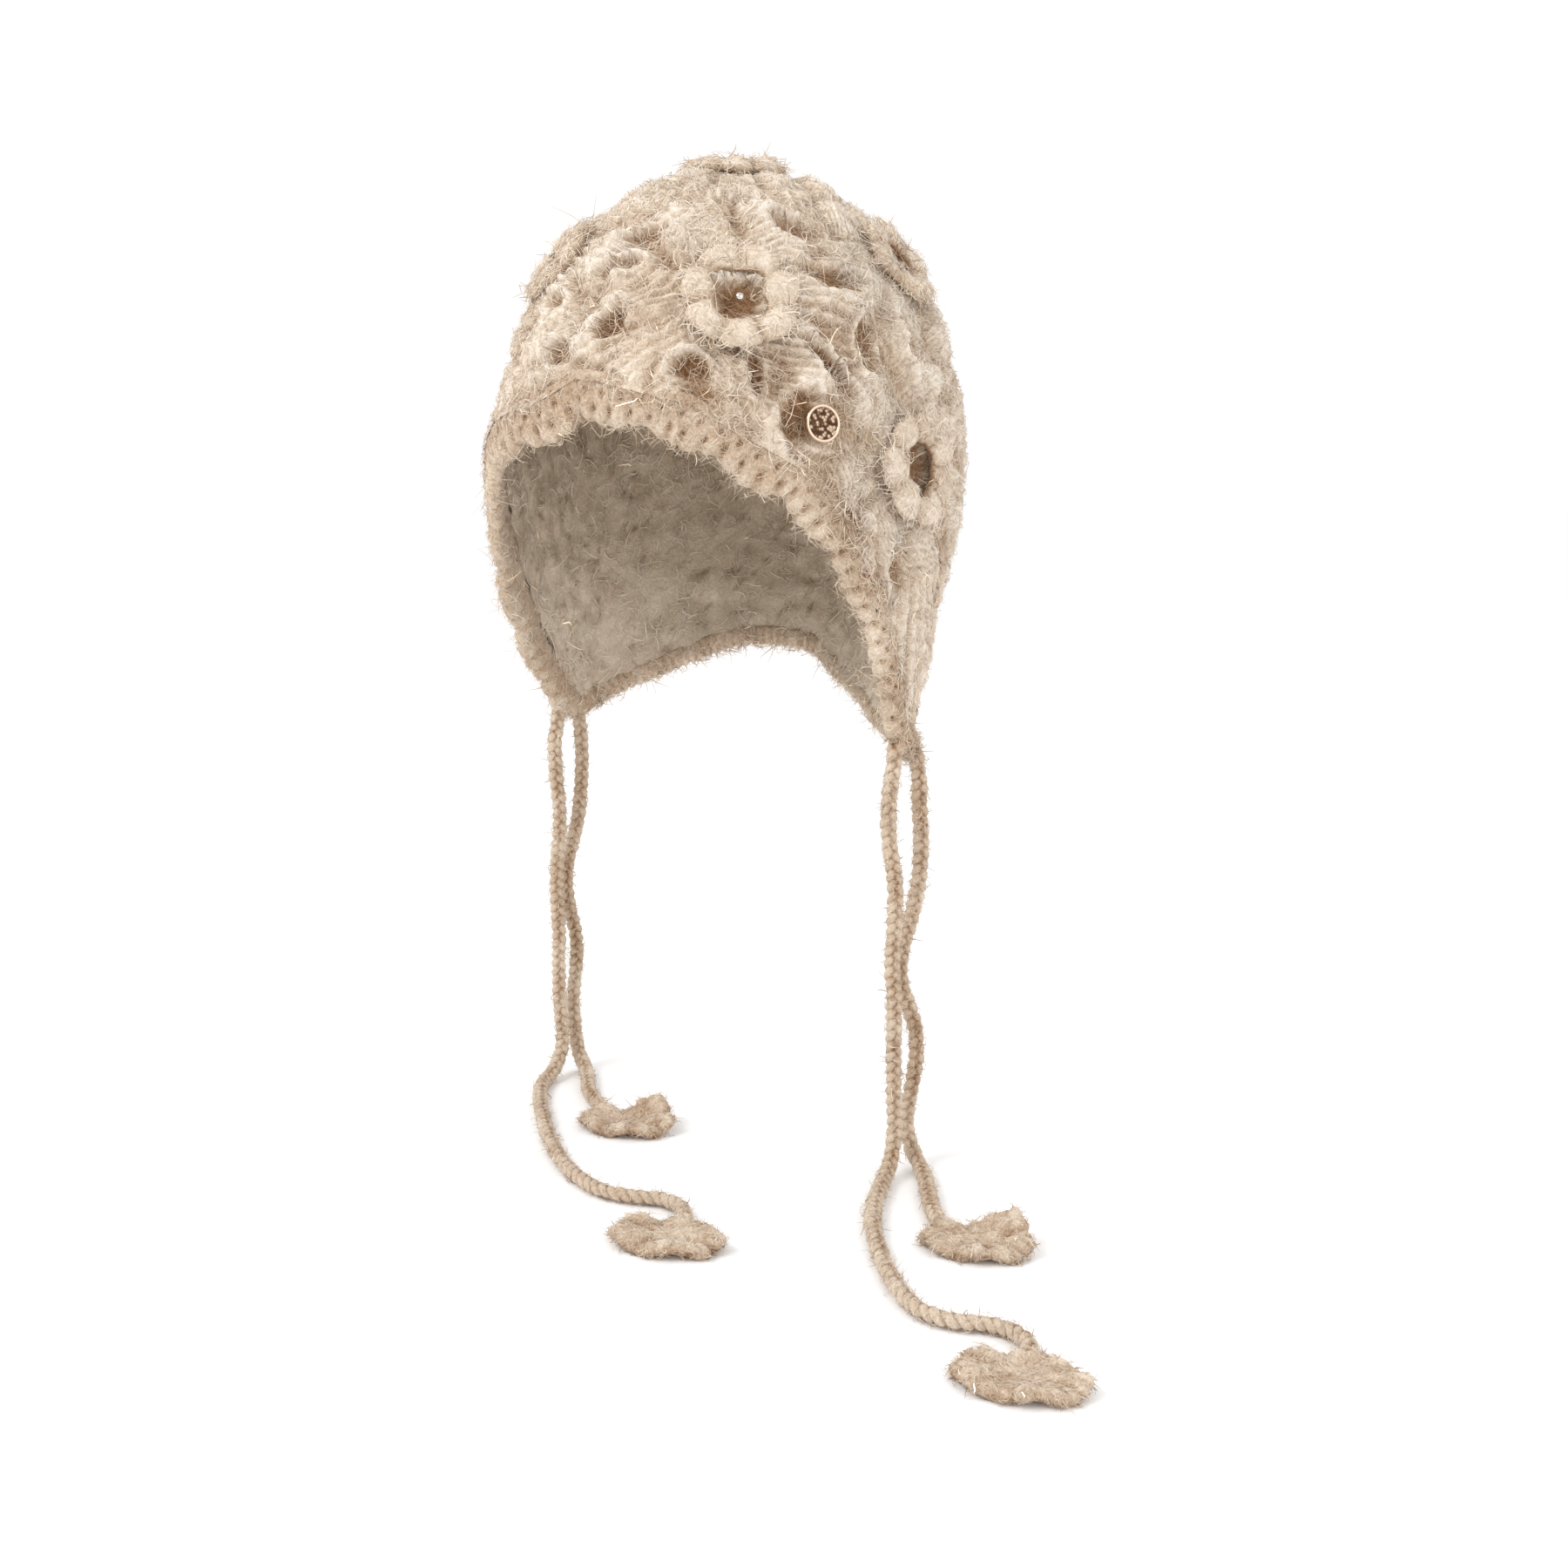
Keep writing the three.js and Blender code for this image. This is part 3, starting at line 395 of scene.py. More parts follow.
# A chain cord is worked tighter and brushed less, so its tufts are finer
tie_wool = wool("brushed_mohair_chain_cord", CREAM, tuft_size=0.7 * MM)
# The reverse side is fleecy, so its tufts are coarser and stand higher
inner_wool = wool("brushed_wool_reverse_side", TAUPE, tuft_size=1.2 * MM, bump=0.7, sheen=0.15)
# Combed single hairs have a smooth skin, which gives them a faint gloss
halo_wool = loose_fibre("combed_mohair_hairs", CREAM)
inner_halo = loose_fibre("combed_reverse_side_hairs", TAUPE)
print(len(bpy.data.materials), "kinds of wool")


# %% Metal
WEAR_SIZE = 1.5 * MM


def metal(name, colour, roughness, pebble_size=0, pebble_depth=0):
    """Plated metal, pebbled where a size is given, with fine wear in its gloss."""
    material, tree = new_material(name)
    place = add_node(tree, "ShaderNodeTexCoord").outputs["Object"]
    wear = add_node(tree, "ShaderNodeTexNoise", {"Scale": 1 / WEAR_SIZE, "Detail": 4},
                    {"Vector": place}).outputs["Fac"]
    gloss = add_node(tree, "ShaderNodeMapRange",
                     {"To Min": roughness * 0.8, "To Max": roughness * 1.3}, {"Value": wear}).outputs[0]
    shader = add_node(tree, "ShaderNodeBsdfPrincipled", {"Base Color": linear(colour), "Metallic": 1.0},
                      {"Roughness": gloss})
    if pebble_size:
        cells = add_node(tree, "ShaderNodeTexVoronoi", {"Scale": 1 / pebble_size}, {"Vector": place})
        relief = add_node(tree, "ShaderNodeBump",
                          {"Strength": 0.9, "Distance": pebble_depth, "invert": True},
                          {"Height": cells.outputs["Distance"]})
        tree.links.new(relief.outputs["Normal"], shader.inputs["Normal"])
        aged = add_node(tree, "ShaderNodeValToRGB",
                        {"stops": [(0.28, colour), (0.5, "#7a5f49"), (0.62, "#4f3a2b")]},
                        {"Fac": cells.outputs["Distance"]})
        tree.links.new(aged.outputs["Color"], shader.inputs["Base Color"])
    add_node(tree, "ShaderNodeOutputMaterial", links={"Surface": shader.outputs["BSDF"]})
    return material


# Rose gold plate over a cast face of pebbles: bright on their tops, brown with age between them
badge_metal = metal("rose_gold_plated_pebbled", "#c9b09a", 0.26, pebble_size=1.5 * MM, pebble_depth=0.6 * MM)
# The rim has the same plate, polished by wear
rim_metal = metal("rose_gold_plated_rim", "#dcc3ac", 0.16)
# Turned and polished steel, a small sharp light in the flower's heart
bead_metal = metal("polished_steel_bead", "#d9d2c8", 0.12)
# Metallised film, slit thin and spun into the yarn: single bright glints
gold_film = metal("gold_film_yarn", "#f5e3c4", 0.3)
print(len(bpy.data.materials), "materials")

# %% [markdown]
# ## The form of the hat
# A worn bonnet follows the head: half an ellipsoid above its widest level, and below it walls that narrow
# towards the nape. It could be sculpted, but a formula gives every later piece a place and a direction.

# %% Form
def plan_sizes(drop, inset=0.0):
    """Half width, front and back length and roundness of the plan at a drop."""
    side = np.interp(drop, PLAN["drop"], PLAN["side"]) * CROWN_HALF_WIDTH - inset
    front = np.interp(drop, PLAN["drop"], PLAN["front"]) * CROWN_FRONT - inset
    back = np.interp(drop, PLAN["drop"], PLAN["back"]) * CROWN_BACK - inset
    return side, front, back, np.interp(drop, PLAN["drop"], PLAN["power"])


def form(turn, level, inset=0.0):
    """Points of the smooth outer form, or of the form inset by the wall."""
    turn, level = np.broadcast_arrays(np.asarray(turn, float), np.asarray(level, float))
    side, front, back, power = plan_sizes((WIDEST - level) / FLAP_REACH, inset)
    rise = np.maximum(0, level - WIDEST) / (CROWN_RISE - inset)
    shrink = np.sqrt(np.maximum(0, 1 - rise * rise))
    sine, cosine = np.sin(np.radians(turn)), np.cos(np.radians(turn))
    behind = cosine < 0
    bend = np.where(behind, 2 / power, 1)
    x = np.sign(sine) * np.abs(sine) ** bend * side
    y = -np.sign(cosine) * np.abs(cosine) ** bend * np.where(behind, back, front)
    return np.stack([x * shrink, y * shrink, level], axis=-1)


def form_normal(turn, level):
    """Outward directions of the form, from the ellipsoid above the widest level."""
    step = 0.5 * MM
    turn, level = np.broadcast_arrays(np.asarray(turn, float), np.asarray(level, float))
    along = form(turn + 0.5, level) - form(turn - 0.5, level)
    up = form(turn, level + step) - form(turn, level - step)
    below = unit(np.cross(along, up))
    point = form(turn, level)
    length = np.where(point[..., 1] > 0, CROWN_BACK, CROWN_FRONT)
    above = unit(np.stack([point[..., 0] / CROWN_HALF_WIDTH ** 2, point[..., 1] / length ** 2,
                           (level - WIDEST) / CROWN_RISE ** 2], axis=-1))
    share = smooth_step(level - WIDEST, 10 * MM, 40 * MM)[..., None]
    return unit(below * (1 - share) + above * share)


def rim_level(turn):
    """Lower edge of the knit at a turn."""
    turn = (np.asarray(turn, float) + 180) % 360 - 180
    left = np.interp(np.abs(turn), RIM["turn"], RIM["left"])
    right = np.interp(np.abs(turn), RIM["turn"], RIM["right"])
    return WIDEST - FLAP_REACH * np.where(turn >= 0, left, right)


def onto_form(points):
    """Nearest points of the outer form, along the line to the middle of the hat."""
    points = np.array(points, float)
    for _ in range(4):
        side, front, back, power = plan_sizes((WIDEST - points[..., 2]) / FLAP_REACH)
        behind = points[..., 1] > 0
        power = np.where(behind, power, 2)
        length = np.where(behind, back, front)
        rise = np.maximum(0, points[..., 2] - WIDEST) / CROWN_RISE
        spread = (np.abs(points[..., 0]) / side) ** power + (np.abs(points[..., 1]) / length) ** power
        size = (spread + rise ** power) ** (1 / power)
        points[..., :2] /= size[..., None]
        above = rise > 0
        points[..., 2] = np.where(above, WIDEST + (points[..., 2] - WIDEST) / size, points[..., 2])
    return points


def seat_frame(turn, drop):
    """Origin, outward, sideways and upward directions of a piece that is sewn to the crown."""
    level = WIDEST + CROWN_RISE * (1 - drop)
    origin = form(turn, level)
    out = form_normal(turn, level)
    side = unit(form(turn + 1, level) - form(turn - 1, level))
    return origin, out, side, unit(np.cross(out, side))


for row in flower_rows:
    row["frame"] = seat_frame(row["turn"], row["drop"])
print("the rim is lowest at", round(float(rim_level(97.5)), 4))

# %% [markdown]
# ## The tie cords
# Two hang from each flap, lie on the surface below and end in a ruffled flower. Each is a crocheted chain
# with V-shaped stitches. A curve with a round bevel would be smooth, so three strands cross in turn along
# the route, each one a tube of its own.

# %% Routes
# Steps in millimetres from the tie's exit in X and Y, and the height over the surface as a share of
# TIE_DROP. front is how far the exit lies in front of the hat's axis, flower is the flower's middle from
# the exit, and joint is where the tie meets the flower's rim, from the flower's long axis. The points were
# marked along the ties in the picture, turned into places with the camera's help, and eased in the bends.
TIE_ROUTES = {
    "left_long": {"front": 12, "flower": (124.4, -101.3), "joint": 90, "steps": [
        (-0.6, -0.5, 0.96), (-1.3, -1.1, 0.914), (-1.6, -1.4, 0.852), (-1.1, -0.9, 0.785),
        (0.2, 0.2, 0.718), (0.7, 0.6, 0.65), (0.3, 0.2, 0.575), (-0.1, -0.1, 0.497),
        (0.6, 0.5, 0.412), (0.7, 0.6, 0.304), (0.9, 0.7, 0.195), (1.1, 0.9, 0.13),
        (1.3, 0.9, 0.086), (2.1, -1.3, 0.045), (3.8, -5.9, 0.0144), (6.1, -12.2, 0),
        (10.2, -20.8, 0), (15.8, -30.6, 0), (23.3, -41.6, 0), (33, -53.2, 0), (44.5, -64.6, 0),
        (57, -75.2, 0), (68.4, -82.8, 0), (78, -86.6, 0), (86.5, -86.4, 0), (94.4, -82.8, 0),
        (99.6, -79.9, 0), (105.5, -78.8, 0), (110.9, -79.9, 0), (115, -82.5, 0),
    ]},
    "left_short": {"front": -2, "flower": (63.1, -47.7), "joint": 135, "steps": [
        (0.7, 0.6, 0.93), (0.9, 0.8, 0.869), (1.6, 1.3, 0.785), (1.1, 0.9, 0.7),
        (-0.3, -0.2, 0.625), (-2.6, -2.2, 0.552), (-4, -3.4, 0.487), (-3.6, -3, 0.43),
        (-1.4, -1.2, 0.38), (0.6, 0.5, 0.324), (1.1, 0.9, 0.265), (0.3, 0.2, 0.195),
        (-1.1, -0.9, 0.135), (-1.6, -1.4, 0.086), (0.5, -2.3, 0.0454), (4.7, -4.2, 0.0153),
        (10.2, -7.6, 0), (17, -14.4, 0), (24.8, -23.4, 0), (33.6, -33.6, 0), (43.1, -42.4, 0),
    ]},
    "right_long": {"front": 17, "flower": (152.7, -95.8), "joint": 90, "steps": [
        (-0.8, -0.7, 0.96), (-1.6, -1.4, 0.921), (-1.7, -1.4, 0.874), (-1.3, -1.1, 0.803),
        (-0.7, -0.6, 0.735), (-0.9, -0.7, 0.665), (-1.9, -1.6, 0.588), (-2.3, -1.9, 0.515),
        (-2.1, -1.7, 0.442), (-1.9, -1.6, 0.381), (-2.2, -1.8, 0.295), (-2.3, -1.9, 0.221),
        (-1.9, -1.6, 0.15), (-1.3, -1.4, 0.086), (-0.7, -3.6, 0.0444), (0.6, -8.4, 0.0138),
        (2.6, -15, 0), (8.2, -23.4, 0), (18.6, -33.8, 0), (31.1, -44, 0), (49.5, -57.8, 0),
        (66.7, -69, 0), (82.1, -76.8, 0), (94.5, -81, 0), (105.2, -82.6, 0), (114.8, -80.9, 0),
        (122.7, -77.3, 0), (127.9, -74.4, 0), (133.8, -73.3, 0), (139.2, -74.4, 0), (143.3, -77, 0),
    ]},
    "right_short": {"front": 6, "flower": (65.8, -40), "joint": 135, "steps": [
        (0.8, 0.7, 0.94), (1.1, 0.9, 0.86), (0.6, 0.5, 0.788), (-0.5, -0.4, 0.71), (-2.4, -2, 0.64),
        (-4.4, -3.7, 0.577), (-5.2, -4.3, 0.51), (-4.1, -3.4, 0.436), (-2.5, -2.1, 0.372),
        (-2.3, -1.9, 0.312), (-3, -2.5, 0.249), (-3.7, -3.1, 0.19), (-3.7, -3.1, 0.135),
        (-3.2, -2.9, 0.086), (-1, -3.7, 0.0454), (3.5, -5.5, 0.0148), (9.4, -8.6, 0),
        (17.6, -15.8, 0), (27.6, -24.4, 0), (37, -30.2, 0), (45.7, -34.8, 0),
    ]},
}
END_FLOWER_OVAL = 0.59
END_FLOWER_TURN = math.radians(23)
TIE_END_STRAIGHT = 3.4 * MM
PIECE_GAP = 0.3 * MM
POINTS_PER_SPAN = 24


def distances(line):
    """How far each point of a line lies from its start, along the line."""
    return np.concatenate([[0], np.cumsum(np.linalg.norm(np.diff(line, axis=0), axis=1))])


def between(t, low, high, first, second):
    """A blend that is first where t is low and second where t is high."""
    return (high - t) / (high - low) * first + (t - low) / (high - low) * second


def catmull_rom(points, step):
    """Evenly spaced points of a centripetal curve through the given points, and its length."""
    points = np.asarray(points, float)
    padded = np.vstack([2 * points[0] - points[1], points, 2 * points[-1] - points[-2]])
    line = []
    for p0, p1, p2, p3 in zip(padded, padded[1:], padded[2:], padded[3:]):
        steps = [np.linalg.norm(b - a) ** 0.5 for a, b in ((p0, p1), (p1, p2), (p2, p3))]
        k0, k1, k2, k3 = np.cumsum([0] + steps)
        t = np.linspace(k1, k2, POINTS_PER_SPAN, endpoint=False)[:, None]
        middle = between(t, k1, k2, p1, p2)
        before = between(t, k0, k2, between(t, k0, k1, p0, p1), middle)
        after = between(t, k1, k3, middle, between(t, k2, k3, p2, p3))
        line.append(between(t, k1, k2, before, after))
    line = np.vstack(line + [points[-1:]])
    run = distances(line)
    even = np.linspace(0, run[-1], max(2, round(run[-1] / step)) + 1)
    return np.stack([np.interp(even, run, line[:, i]) for i in range(3)], axis=1), run[-1]


def carried_frames(line, start_side):
    """Two directions across a line that turn with it and don't twist."""
    tangent = unit(np.gradient(line, axis=0))
    side = np.zeros_like(line)
    current = np.asarray(start_side, float)
    for i, direction in enumerate(tangent):
        current = unit(current - direction * current.dot(direction))
        side[i] = current
    return tangent, side, np.cross(tangent, side)


def tie_route(name):
    """The exit, the points from there to the flower's rim, and the flower's middle and turn."""
    row = TIE_ROUTES[name]
    exit_x = CROWN_HALF_WIDTH if "left" in name else -CROWN_HALF_WIDTH
    exit_y = -row["front"] * MM
    exit_point = np.array([exit_x, exit_y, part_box("cord_" + name)[1].z])
    lie_level = REST + TIE_DIAMETER / 2
    points = [exit_point]
    for across, along, rise in row["steps"]:
        points.append([exit_x + across * MM, exit_y + along * MM, lie_level + rise * TIE_DROP])
    middle = np.array([exit_x + row["flower"][0] * MM, exit_y + row["flower"][1] * MM, REST])
    radius = END_FLOWER_RADIUS[name.split("_")[1]]
    joint = math.radians(row["joint"])
    cos_t, sin_t = math.cos(END_FLOWER_TURN), math.sin(END_FLOWER_TURN)
    spin = np.array([[cos_t, sin_t, 0], [-sin_t, cos_t, 0], [0, 0, 1]])
    rim = np.array([math.cos(joint) * radius, math.sin(joint) * radius * END_FLOWER_OVAL, 0]) @ spin
    normal = unit(np.array([math.cos(joint) * END_FLOWER_OVAL, math.sin(joint), 0])) @ spin
    end = middle + rim + normal * PIECE_GAP + [0, 0, TIE_DIAMETER / 2]
    return exit_point, np.array(points + [end + normal * TIE_END_STRAIGHT, end]), middle, spin


# %% Cords
# A chain stitch of thick wool is about 4 mm long
STITCH = 4.2 * MM
STRAND_RADIUS = 1.72 * MM
STRAND_SIDES = 8
STRAND_SWING = 1.5 * MM
STRAND_LIFT = 0.95 * MM
SEWN_IN = 3.5 * MM
LINE_STEP = 1.0 * MM


def chain_cord(name, line):
    """Three strands that cross in turn along a line, closed at both ends."""
    _, side, over = carried_frames(line, (0.64, 0.77, 0))
    run = distances(line)
    angles = 2 * np.pi * np.arange(STRAND_SIDES) / STRAND_SIDES
    points, faces, tones = [], [], []
    slack = noise(line, 22 * MM, 5)
    for strand in range(3):
        phase = 2 * np.pi * run / (3 * STITCH) + strand * 2 * np.pi / 3 + 0.4 * slack
        centre = (line + side * (STRAND_SWING * np.sin(phase))[:, None]
                  + over * (STRAND_LIFT * np.sin(2 * phase))[:, None])
        _, a, b = carried_frames(centre, side[0])
        thick = STRAND_RADIUS * (1 + 0.16 * noise(centre, 3 * MM, 11 + strand))
        thick = thick * np.minimum(1, 0.35 + np.minimum(run, run[-1] - run) / (1.5 * MM))
        ring = np.cos(angles)[None, :, None] * a[:, None] + np.sin(angles)[None, :, None] * b[:, None]
        ring = centre[:, None] + ring * thick[:, None, None]
        offset = sum(len(p) for p in points)
        points.append(ring.reshape(-1, 3))
        faces.append(grid_faces(len(line), STRAND_SIDES, close_columns=True) + offset)
        last_ring = offset + (len(line) - 1) * STRAND_SIDES
        faces.append(np.array([[offset + k for k in (0, 2, 4, 6)], [last_ring + k for k in (6, 4, 2, 0)]]))
        away = np.linalg.norm(ring - line[:, None], axis=2)
        # Painted shade: the strands are painted darker where they press into the middle of the cord, and
        # lighter on its outside
        tones.append(0.14 + 0.44 * smooth_step(away, 1.3 * MM, 3.1 * MM).ravel())
    points = np.vstack(points)
    tones = np.concatenate(tones) + 0.08 * noise(points, 9 * MM, 3)
    return make_mesh(name, points, np.vstack(faces), [tie_wool], {"tone": tones})


ties = []
for name in TIE_ROUTES:
    exit_point, route, middle, spin = tie_route(name)
    line, whole_length = catmull_rom(np.vstack([exit_point + [0, 0, SEWN_IN], route]), LINE_STEP)
    cord = chain_cord("chain_cord_" + name, line)
    ties.append({"name": name, "kind": name.split("_")[1], "cord": cord, "exit": exit_point, "line": line,
                 "length": whole_length - SEWN_IN, "middle": middle, "spin": spin})
    print(cord.name, "is", round((whole_length - SEWN_IN) / MM), "mm long below its exit")

# %% [markdown]
# ## The crown, the flaps and the nape
# Crocheted fans of petals stand round each flower, with deep hollows between them. Thousands of separate
# stitches would be too heavy, and a bump would leave the outline smooth, so the surface itself is raised and
# sunk. The relief can be worked out for any point of the form, so that the loose hairs lie on it too.

# %% Sizes of the relief
CROWN_SINK = 1.8 * MM
DEEPEST = 4.3 * MM
HOLLOW_DEPTH = 4.2 * MM
HOLLOW_LIP = 2.3 * MM
HOLLOW_REACH = 14 * MM
HEART_SHARE = 0.88
FAN_HEIGHT = 2.7 * MM
SEAM_DEPTH = 1.1 * MM
LUMP_HEIGHT, LUMP_SIZE = 1.5 * MM, 17 * MM
KNOB_HEIGHT, KNOB_SIZE = 0.7 * MM, 8 * MM
GRAIN_HEIGHT, GRAIN_SIZE = 0.45 * MM, 2.6 * MM
STRAND_HEIGHT, STRAND_PITCH = 1.1 * MM, 4.4 * MM
STRAND_WANDER = 1.3 * MM
CREASE_DEPTH, CREASE_SIZE, SMALL_CREASE_SIZE = 2.9 * MM, 15 * MM, 9 * MM
CREASE_SHARE, SMALL_CREASE_SHARE = 0.85, 0.35
RIDGE_HEIGHT, RIDGE_SIZE = 1.7 * MM, 11 * MM

# Painted shade: the yarn is painted a little darker above the brow on the wearer's left, where less light
# falls. SHADE_DEPTH and BRIGHTEST are tones
SHADE_PLACE, SHADE_SIZE = form(42, WIDEST + 24 * MM), 52 * MM
SHADE_DEPTH = 0.12
BRIGHTEST = 0.84

# %% Places of the hollows
hollows = []
for row in hollow_rows:
    for turned in (0, HIDDEN_HALF_TURN):
        origin, out, side, up = seat_frame(row["turn"] + turned, row["drop"])
        tilt = math.radians(row["tilt"])
        hollows.append({
            "centre": origin, "out": out,
            "long_axis": side * math.cos(tilt) + up * math.sin(tilt),
            "wide_axis": up * math.cos(tilt) - side * math.sin(tilt),
            "long": row["long"] * CROWN_RISE / 2, "wide": row["wide"] * CROWN_RISE / 2,
            "depth": row["depth"], "bend": row["bend"],
        })
for row in flower_rows:
    origin, out, side, up = row["frame"]
    heart = HEART_SHARE * row["hollow"] * CROWN_HALF_WIDTH
    hollows.append({"centre": origin, "out": out, "long_axis": side, "wide_axis": up, "long": heart,
                    "wide": 0.8 * heart, "depth": 0.9, "bend": 0})
print(len(hollows), "hollows, hidden side and flower hearts included")


# %% Relief of the knit
def nearest_flower(points):
    """For each point its flower, the distances to that one and the next, and the angle round it."""
    reach = np.stack([np.linalg.norm(points - row["frame"][0], axis=-1)
                      / (row["radius"] * CROWN_HALF_WIDTH) for row in flower_rows])
    which = reach.argmin(axis=0)
    second = np.partition(reach, 1, axis=0)[1]
    angle = np.zeros(points.shape[:-1])
    for i, row in enumerate(flower_rows):
        mine = which == i
        origin, _, side, up = row["frame"]
        away = points[mine] - origin
        angle[mine] = np.arctan2(away @ up, away @ side)
    return which, reach.min(axis=0), second, angle


def creases(points, crest, fan):
    """How deep each point lies in a crease, between the petals of a fan or anywhere."""
    crease = CREASE_SHARE * np.exp(-(noise(points, CREASE_SIZE, 9) / 0.17) ** 2)
    small = SMALL_CREASE_SHARE * np.exp(-(noise(points, SMALL_CREASE_SIZE, 10) / 0.13) ** 2)
    crease = np.maximum(crease, small)
    crease = np.maximum(crease, (1 - smooth_step(crest, 0.0, 0.22)) * np.sin(np.pi * fan))
    return crease * (0.65 + 0.35 * noise(points, 20 * MM, 12))


def hollow_shares(points):
    """How deep each point lies in a hollow, and how high it is up on the lip of one."""
    depth = np.zeros(points.shape[:-1])
    lip = np.zeros(points.shape[:-1])
    for hollow in hollows:
        away = points - hollow["centre"]
        near = np.abs(away @ hollow["out"]) < HOLLOW_REACH
        long = away @ hollow["long_axis"] / hollow["long"]
        wide = away @ hollow["wide_axis"] / hollow["wide"] - hollow["bend"] * (1 - long ** 2) * 1.2
        size = np.sqrt(long ** 2 + wide ** 2) + 0.16 * noise(points, 5 * MM, 8)
        depth = np.maximum(depth, near * hollow["depth"] * (1 - smooth_step(size, 0.5, 1.3)))
        upper = 0.65 + 0.35 * np.clip(wide, -1, 1)
        lip = np.maximum(lip, near * upper * np.exp(-((size - 1.45) / 0.33) ** 2))
    return depth, lip


def relief(points):
    """Height of the knit over its form, and the tone of its yarn, with painted shade and painted light on the
    relief.
    """
    which, reach, second, angle = nearest_flower(points)
    petals = np.array([row["petals"] for row in flower_rows])[which]
    start = np.radians([row["start"] for row in flower_rows])[which]
    radius = np.array([row["radius"] for row in flower_rows])[which] * CROWN_HALF_WIDTH
    warp = 0.35 * noise(points, 16 * MM, 1)
    crest = 0.5 + 0.5 * np.cos(petals * (angle - start) + warp * 3)
    fan = np.clip((reach - 0.9) / 1.7, 0, 1)
    height = FAN_HEIGHT * np.sin(np.pi * fan) * (crest ** 0.6 - 0.35)
    seam = smooth_step(second - reach, 0.0, 0.45)
    height -= SEAM_DEPTH * (1 - seam) * smooth_step(reach, 1.1, 1.6)
    height += LUMP_HEIGHT * noise(points, LUMP_SIZE, 2) + KNOB_HEIGHT * noise(points, KNOB_SIZE, 3)
    around = angle * np.minimum(reach * radius, 40 * MM) + STRAND_WANDER * noise(points, 9 * MM, 4)
    strands = np.sin(2 * np.pi * around / STRAND_PITCH)
    height += STRAND_HEIGHT * strands * (0.6 + 0.4 * noise(points, 12 * MM, 6))
    height += GRAIN_HEIGHT * noise(points, GRAIN_SIZE, 7)
    crease = creases(points, crest, fan)
    ridge = np.exp(-(noise(points, RIDGE_SIZE, 14) / 0.16) ** 2)
    ridge = ridge * (0.7 + 0.3 * noise(points, 18 * MM, 15))
    height += RIDGE_HEIGHT * ridge * (1 - crease) - CREASE_DEPTH * crease
    depth, lip = hollow_shares(points)
    height += HOLLOW_LIP * lip * (1 - depth) - HOLLOW_DEPTH * depth - CROWN_SINK
    height = np.maximum(height, -DEEPEST)
    # Painted shade and light: the yarn is painted darker in the hollows, creases and low places, and lighter
    # on the lips, ridges and raised strands
    tone = 0.66 + 0.16 * lip - 0.46 * depth + 0.06 * strands
    tone = tone + 40 * (height + CROWN_SINK) * (1 - depth) - 0.24 * crease + 0.05 * ridge
    # Painted shade above the brow on the wearer's left
    away = np.linalg.norm(points - SHADE_PLACE, axis=-1)
    tone -= SHADE_DEPTH * np.exp(-(away / SHADE_SIZE) ** 2)
    return height, np.minimum(tone, BRIGHTEST)


# %% Rows and columns of the crown
def rim_travel(turn, height):
    """How far the curve of the crown runs from the top down to the rim, in radians of that curve."""
    rim = rim_level(turn)
    above = np.arccos(np.clip((rim - WIDEST) / height, -1, 1))
    return np.where(rim > WIDEST, above, np.pi / 2 + (WIDEST - rim) / height)


def column_level(turn, share, inset=0.0):
    """Levels from the top (share 0) down to the rim (share 1), evenly spaced along the curve."""
    height = CROWN_RISE - inset
    travel = share * rim_travel(turn, height)
    return np.where(travel > np.pi / 2, WIDEST - (travel - np.pi / 2) * height,
                    WIDEST + height * np.cos(travel))


def body_turns(count):
    """Turns round the hat, closer together where the rim is steep."""
    fine = np.linspace(-180, 180, 3601)
    density = 1 + 1.6 * np.exp(-((np.abs(fine) - 80) / 14) ** 2)
    run = np.concatenate([[0], np.cumsum((density[1:] + density[:-1]) / 2)])
    return np.interp(np.linspace(0, run[-1], count, endpoint=False), run, fine)


print("turns of eight columns:", body_turns(8).round(1))

# %% Crown
CROWN_COLUMNS = 480
CROWN_ROWS = 196
TOP_SHARE = 0.004
RIM_FADE = 5 * MM
RIM_HEIGHT = 0.8 * MM

turns = body_turns(CROWN_COLUMNS)
shares = np.linspace(TOP_SHARE, 1, CROWN_ROWS)
grid_turn, grid_share = np.meshgrid(turns, shares)
grid_level = column_level(grid_turn, grid_share)
smooth_points = form(grid_turn, grid_level)
normals = form_normal(grid_turn, grid_level)
height, tone = relief(smooth_points)
rim_fade = smooth_step((1 - grid_share) * rim_travel(grid_turn, CROWN_RISE) * CROWN_RISE, 0, RIM_FADE)
height = height * rim_fade + RIM_HEIGHT * (1 - rim_fade)
crown_points = smooth_points + normals * height[..., None]
crown_faces = grid_faces(CROWN_ROWS, CROWN_COLUMNS, close_columns=True, flip=True)
hat_knit = make_mesh("hat_knit", crown_points, crown_faces, [crown_wool], {"tone": tone})
print("hat_knit has", len(crown_faces) * 2, "triangles")

# %% [markdown]
# ## The inside
# The reverse side is fleecy and flatter, with small gaps between the stitches that are set back and painted
# dark as shade. Thickening the outer mesh would press its relief through, so the inside is a surface of its
# own, one wall further in.

# %% Inside
INNER_COLUMNS = 300
INNER_ROWS = 110
TUFT_SIZE = 3 * MM
SPOT_SIZE = 4.2 * MM
INNER_LUMP_SIZE = 7 * MM

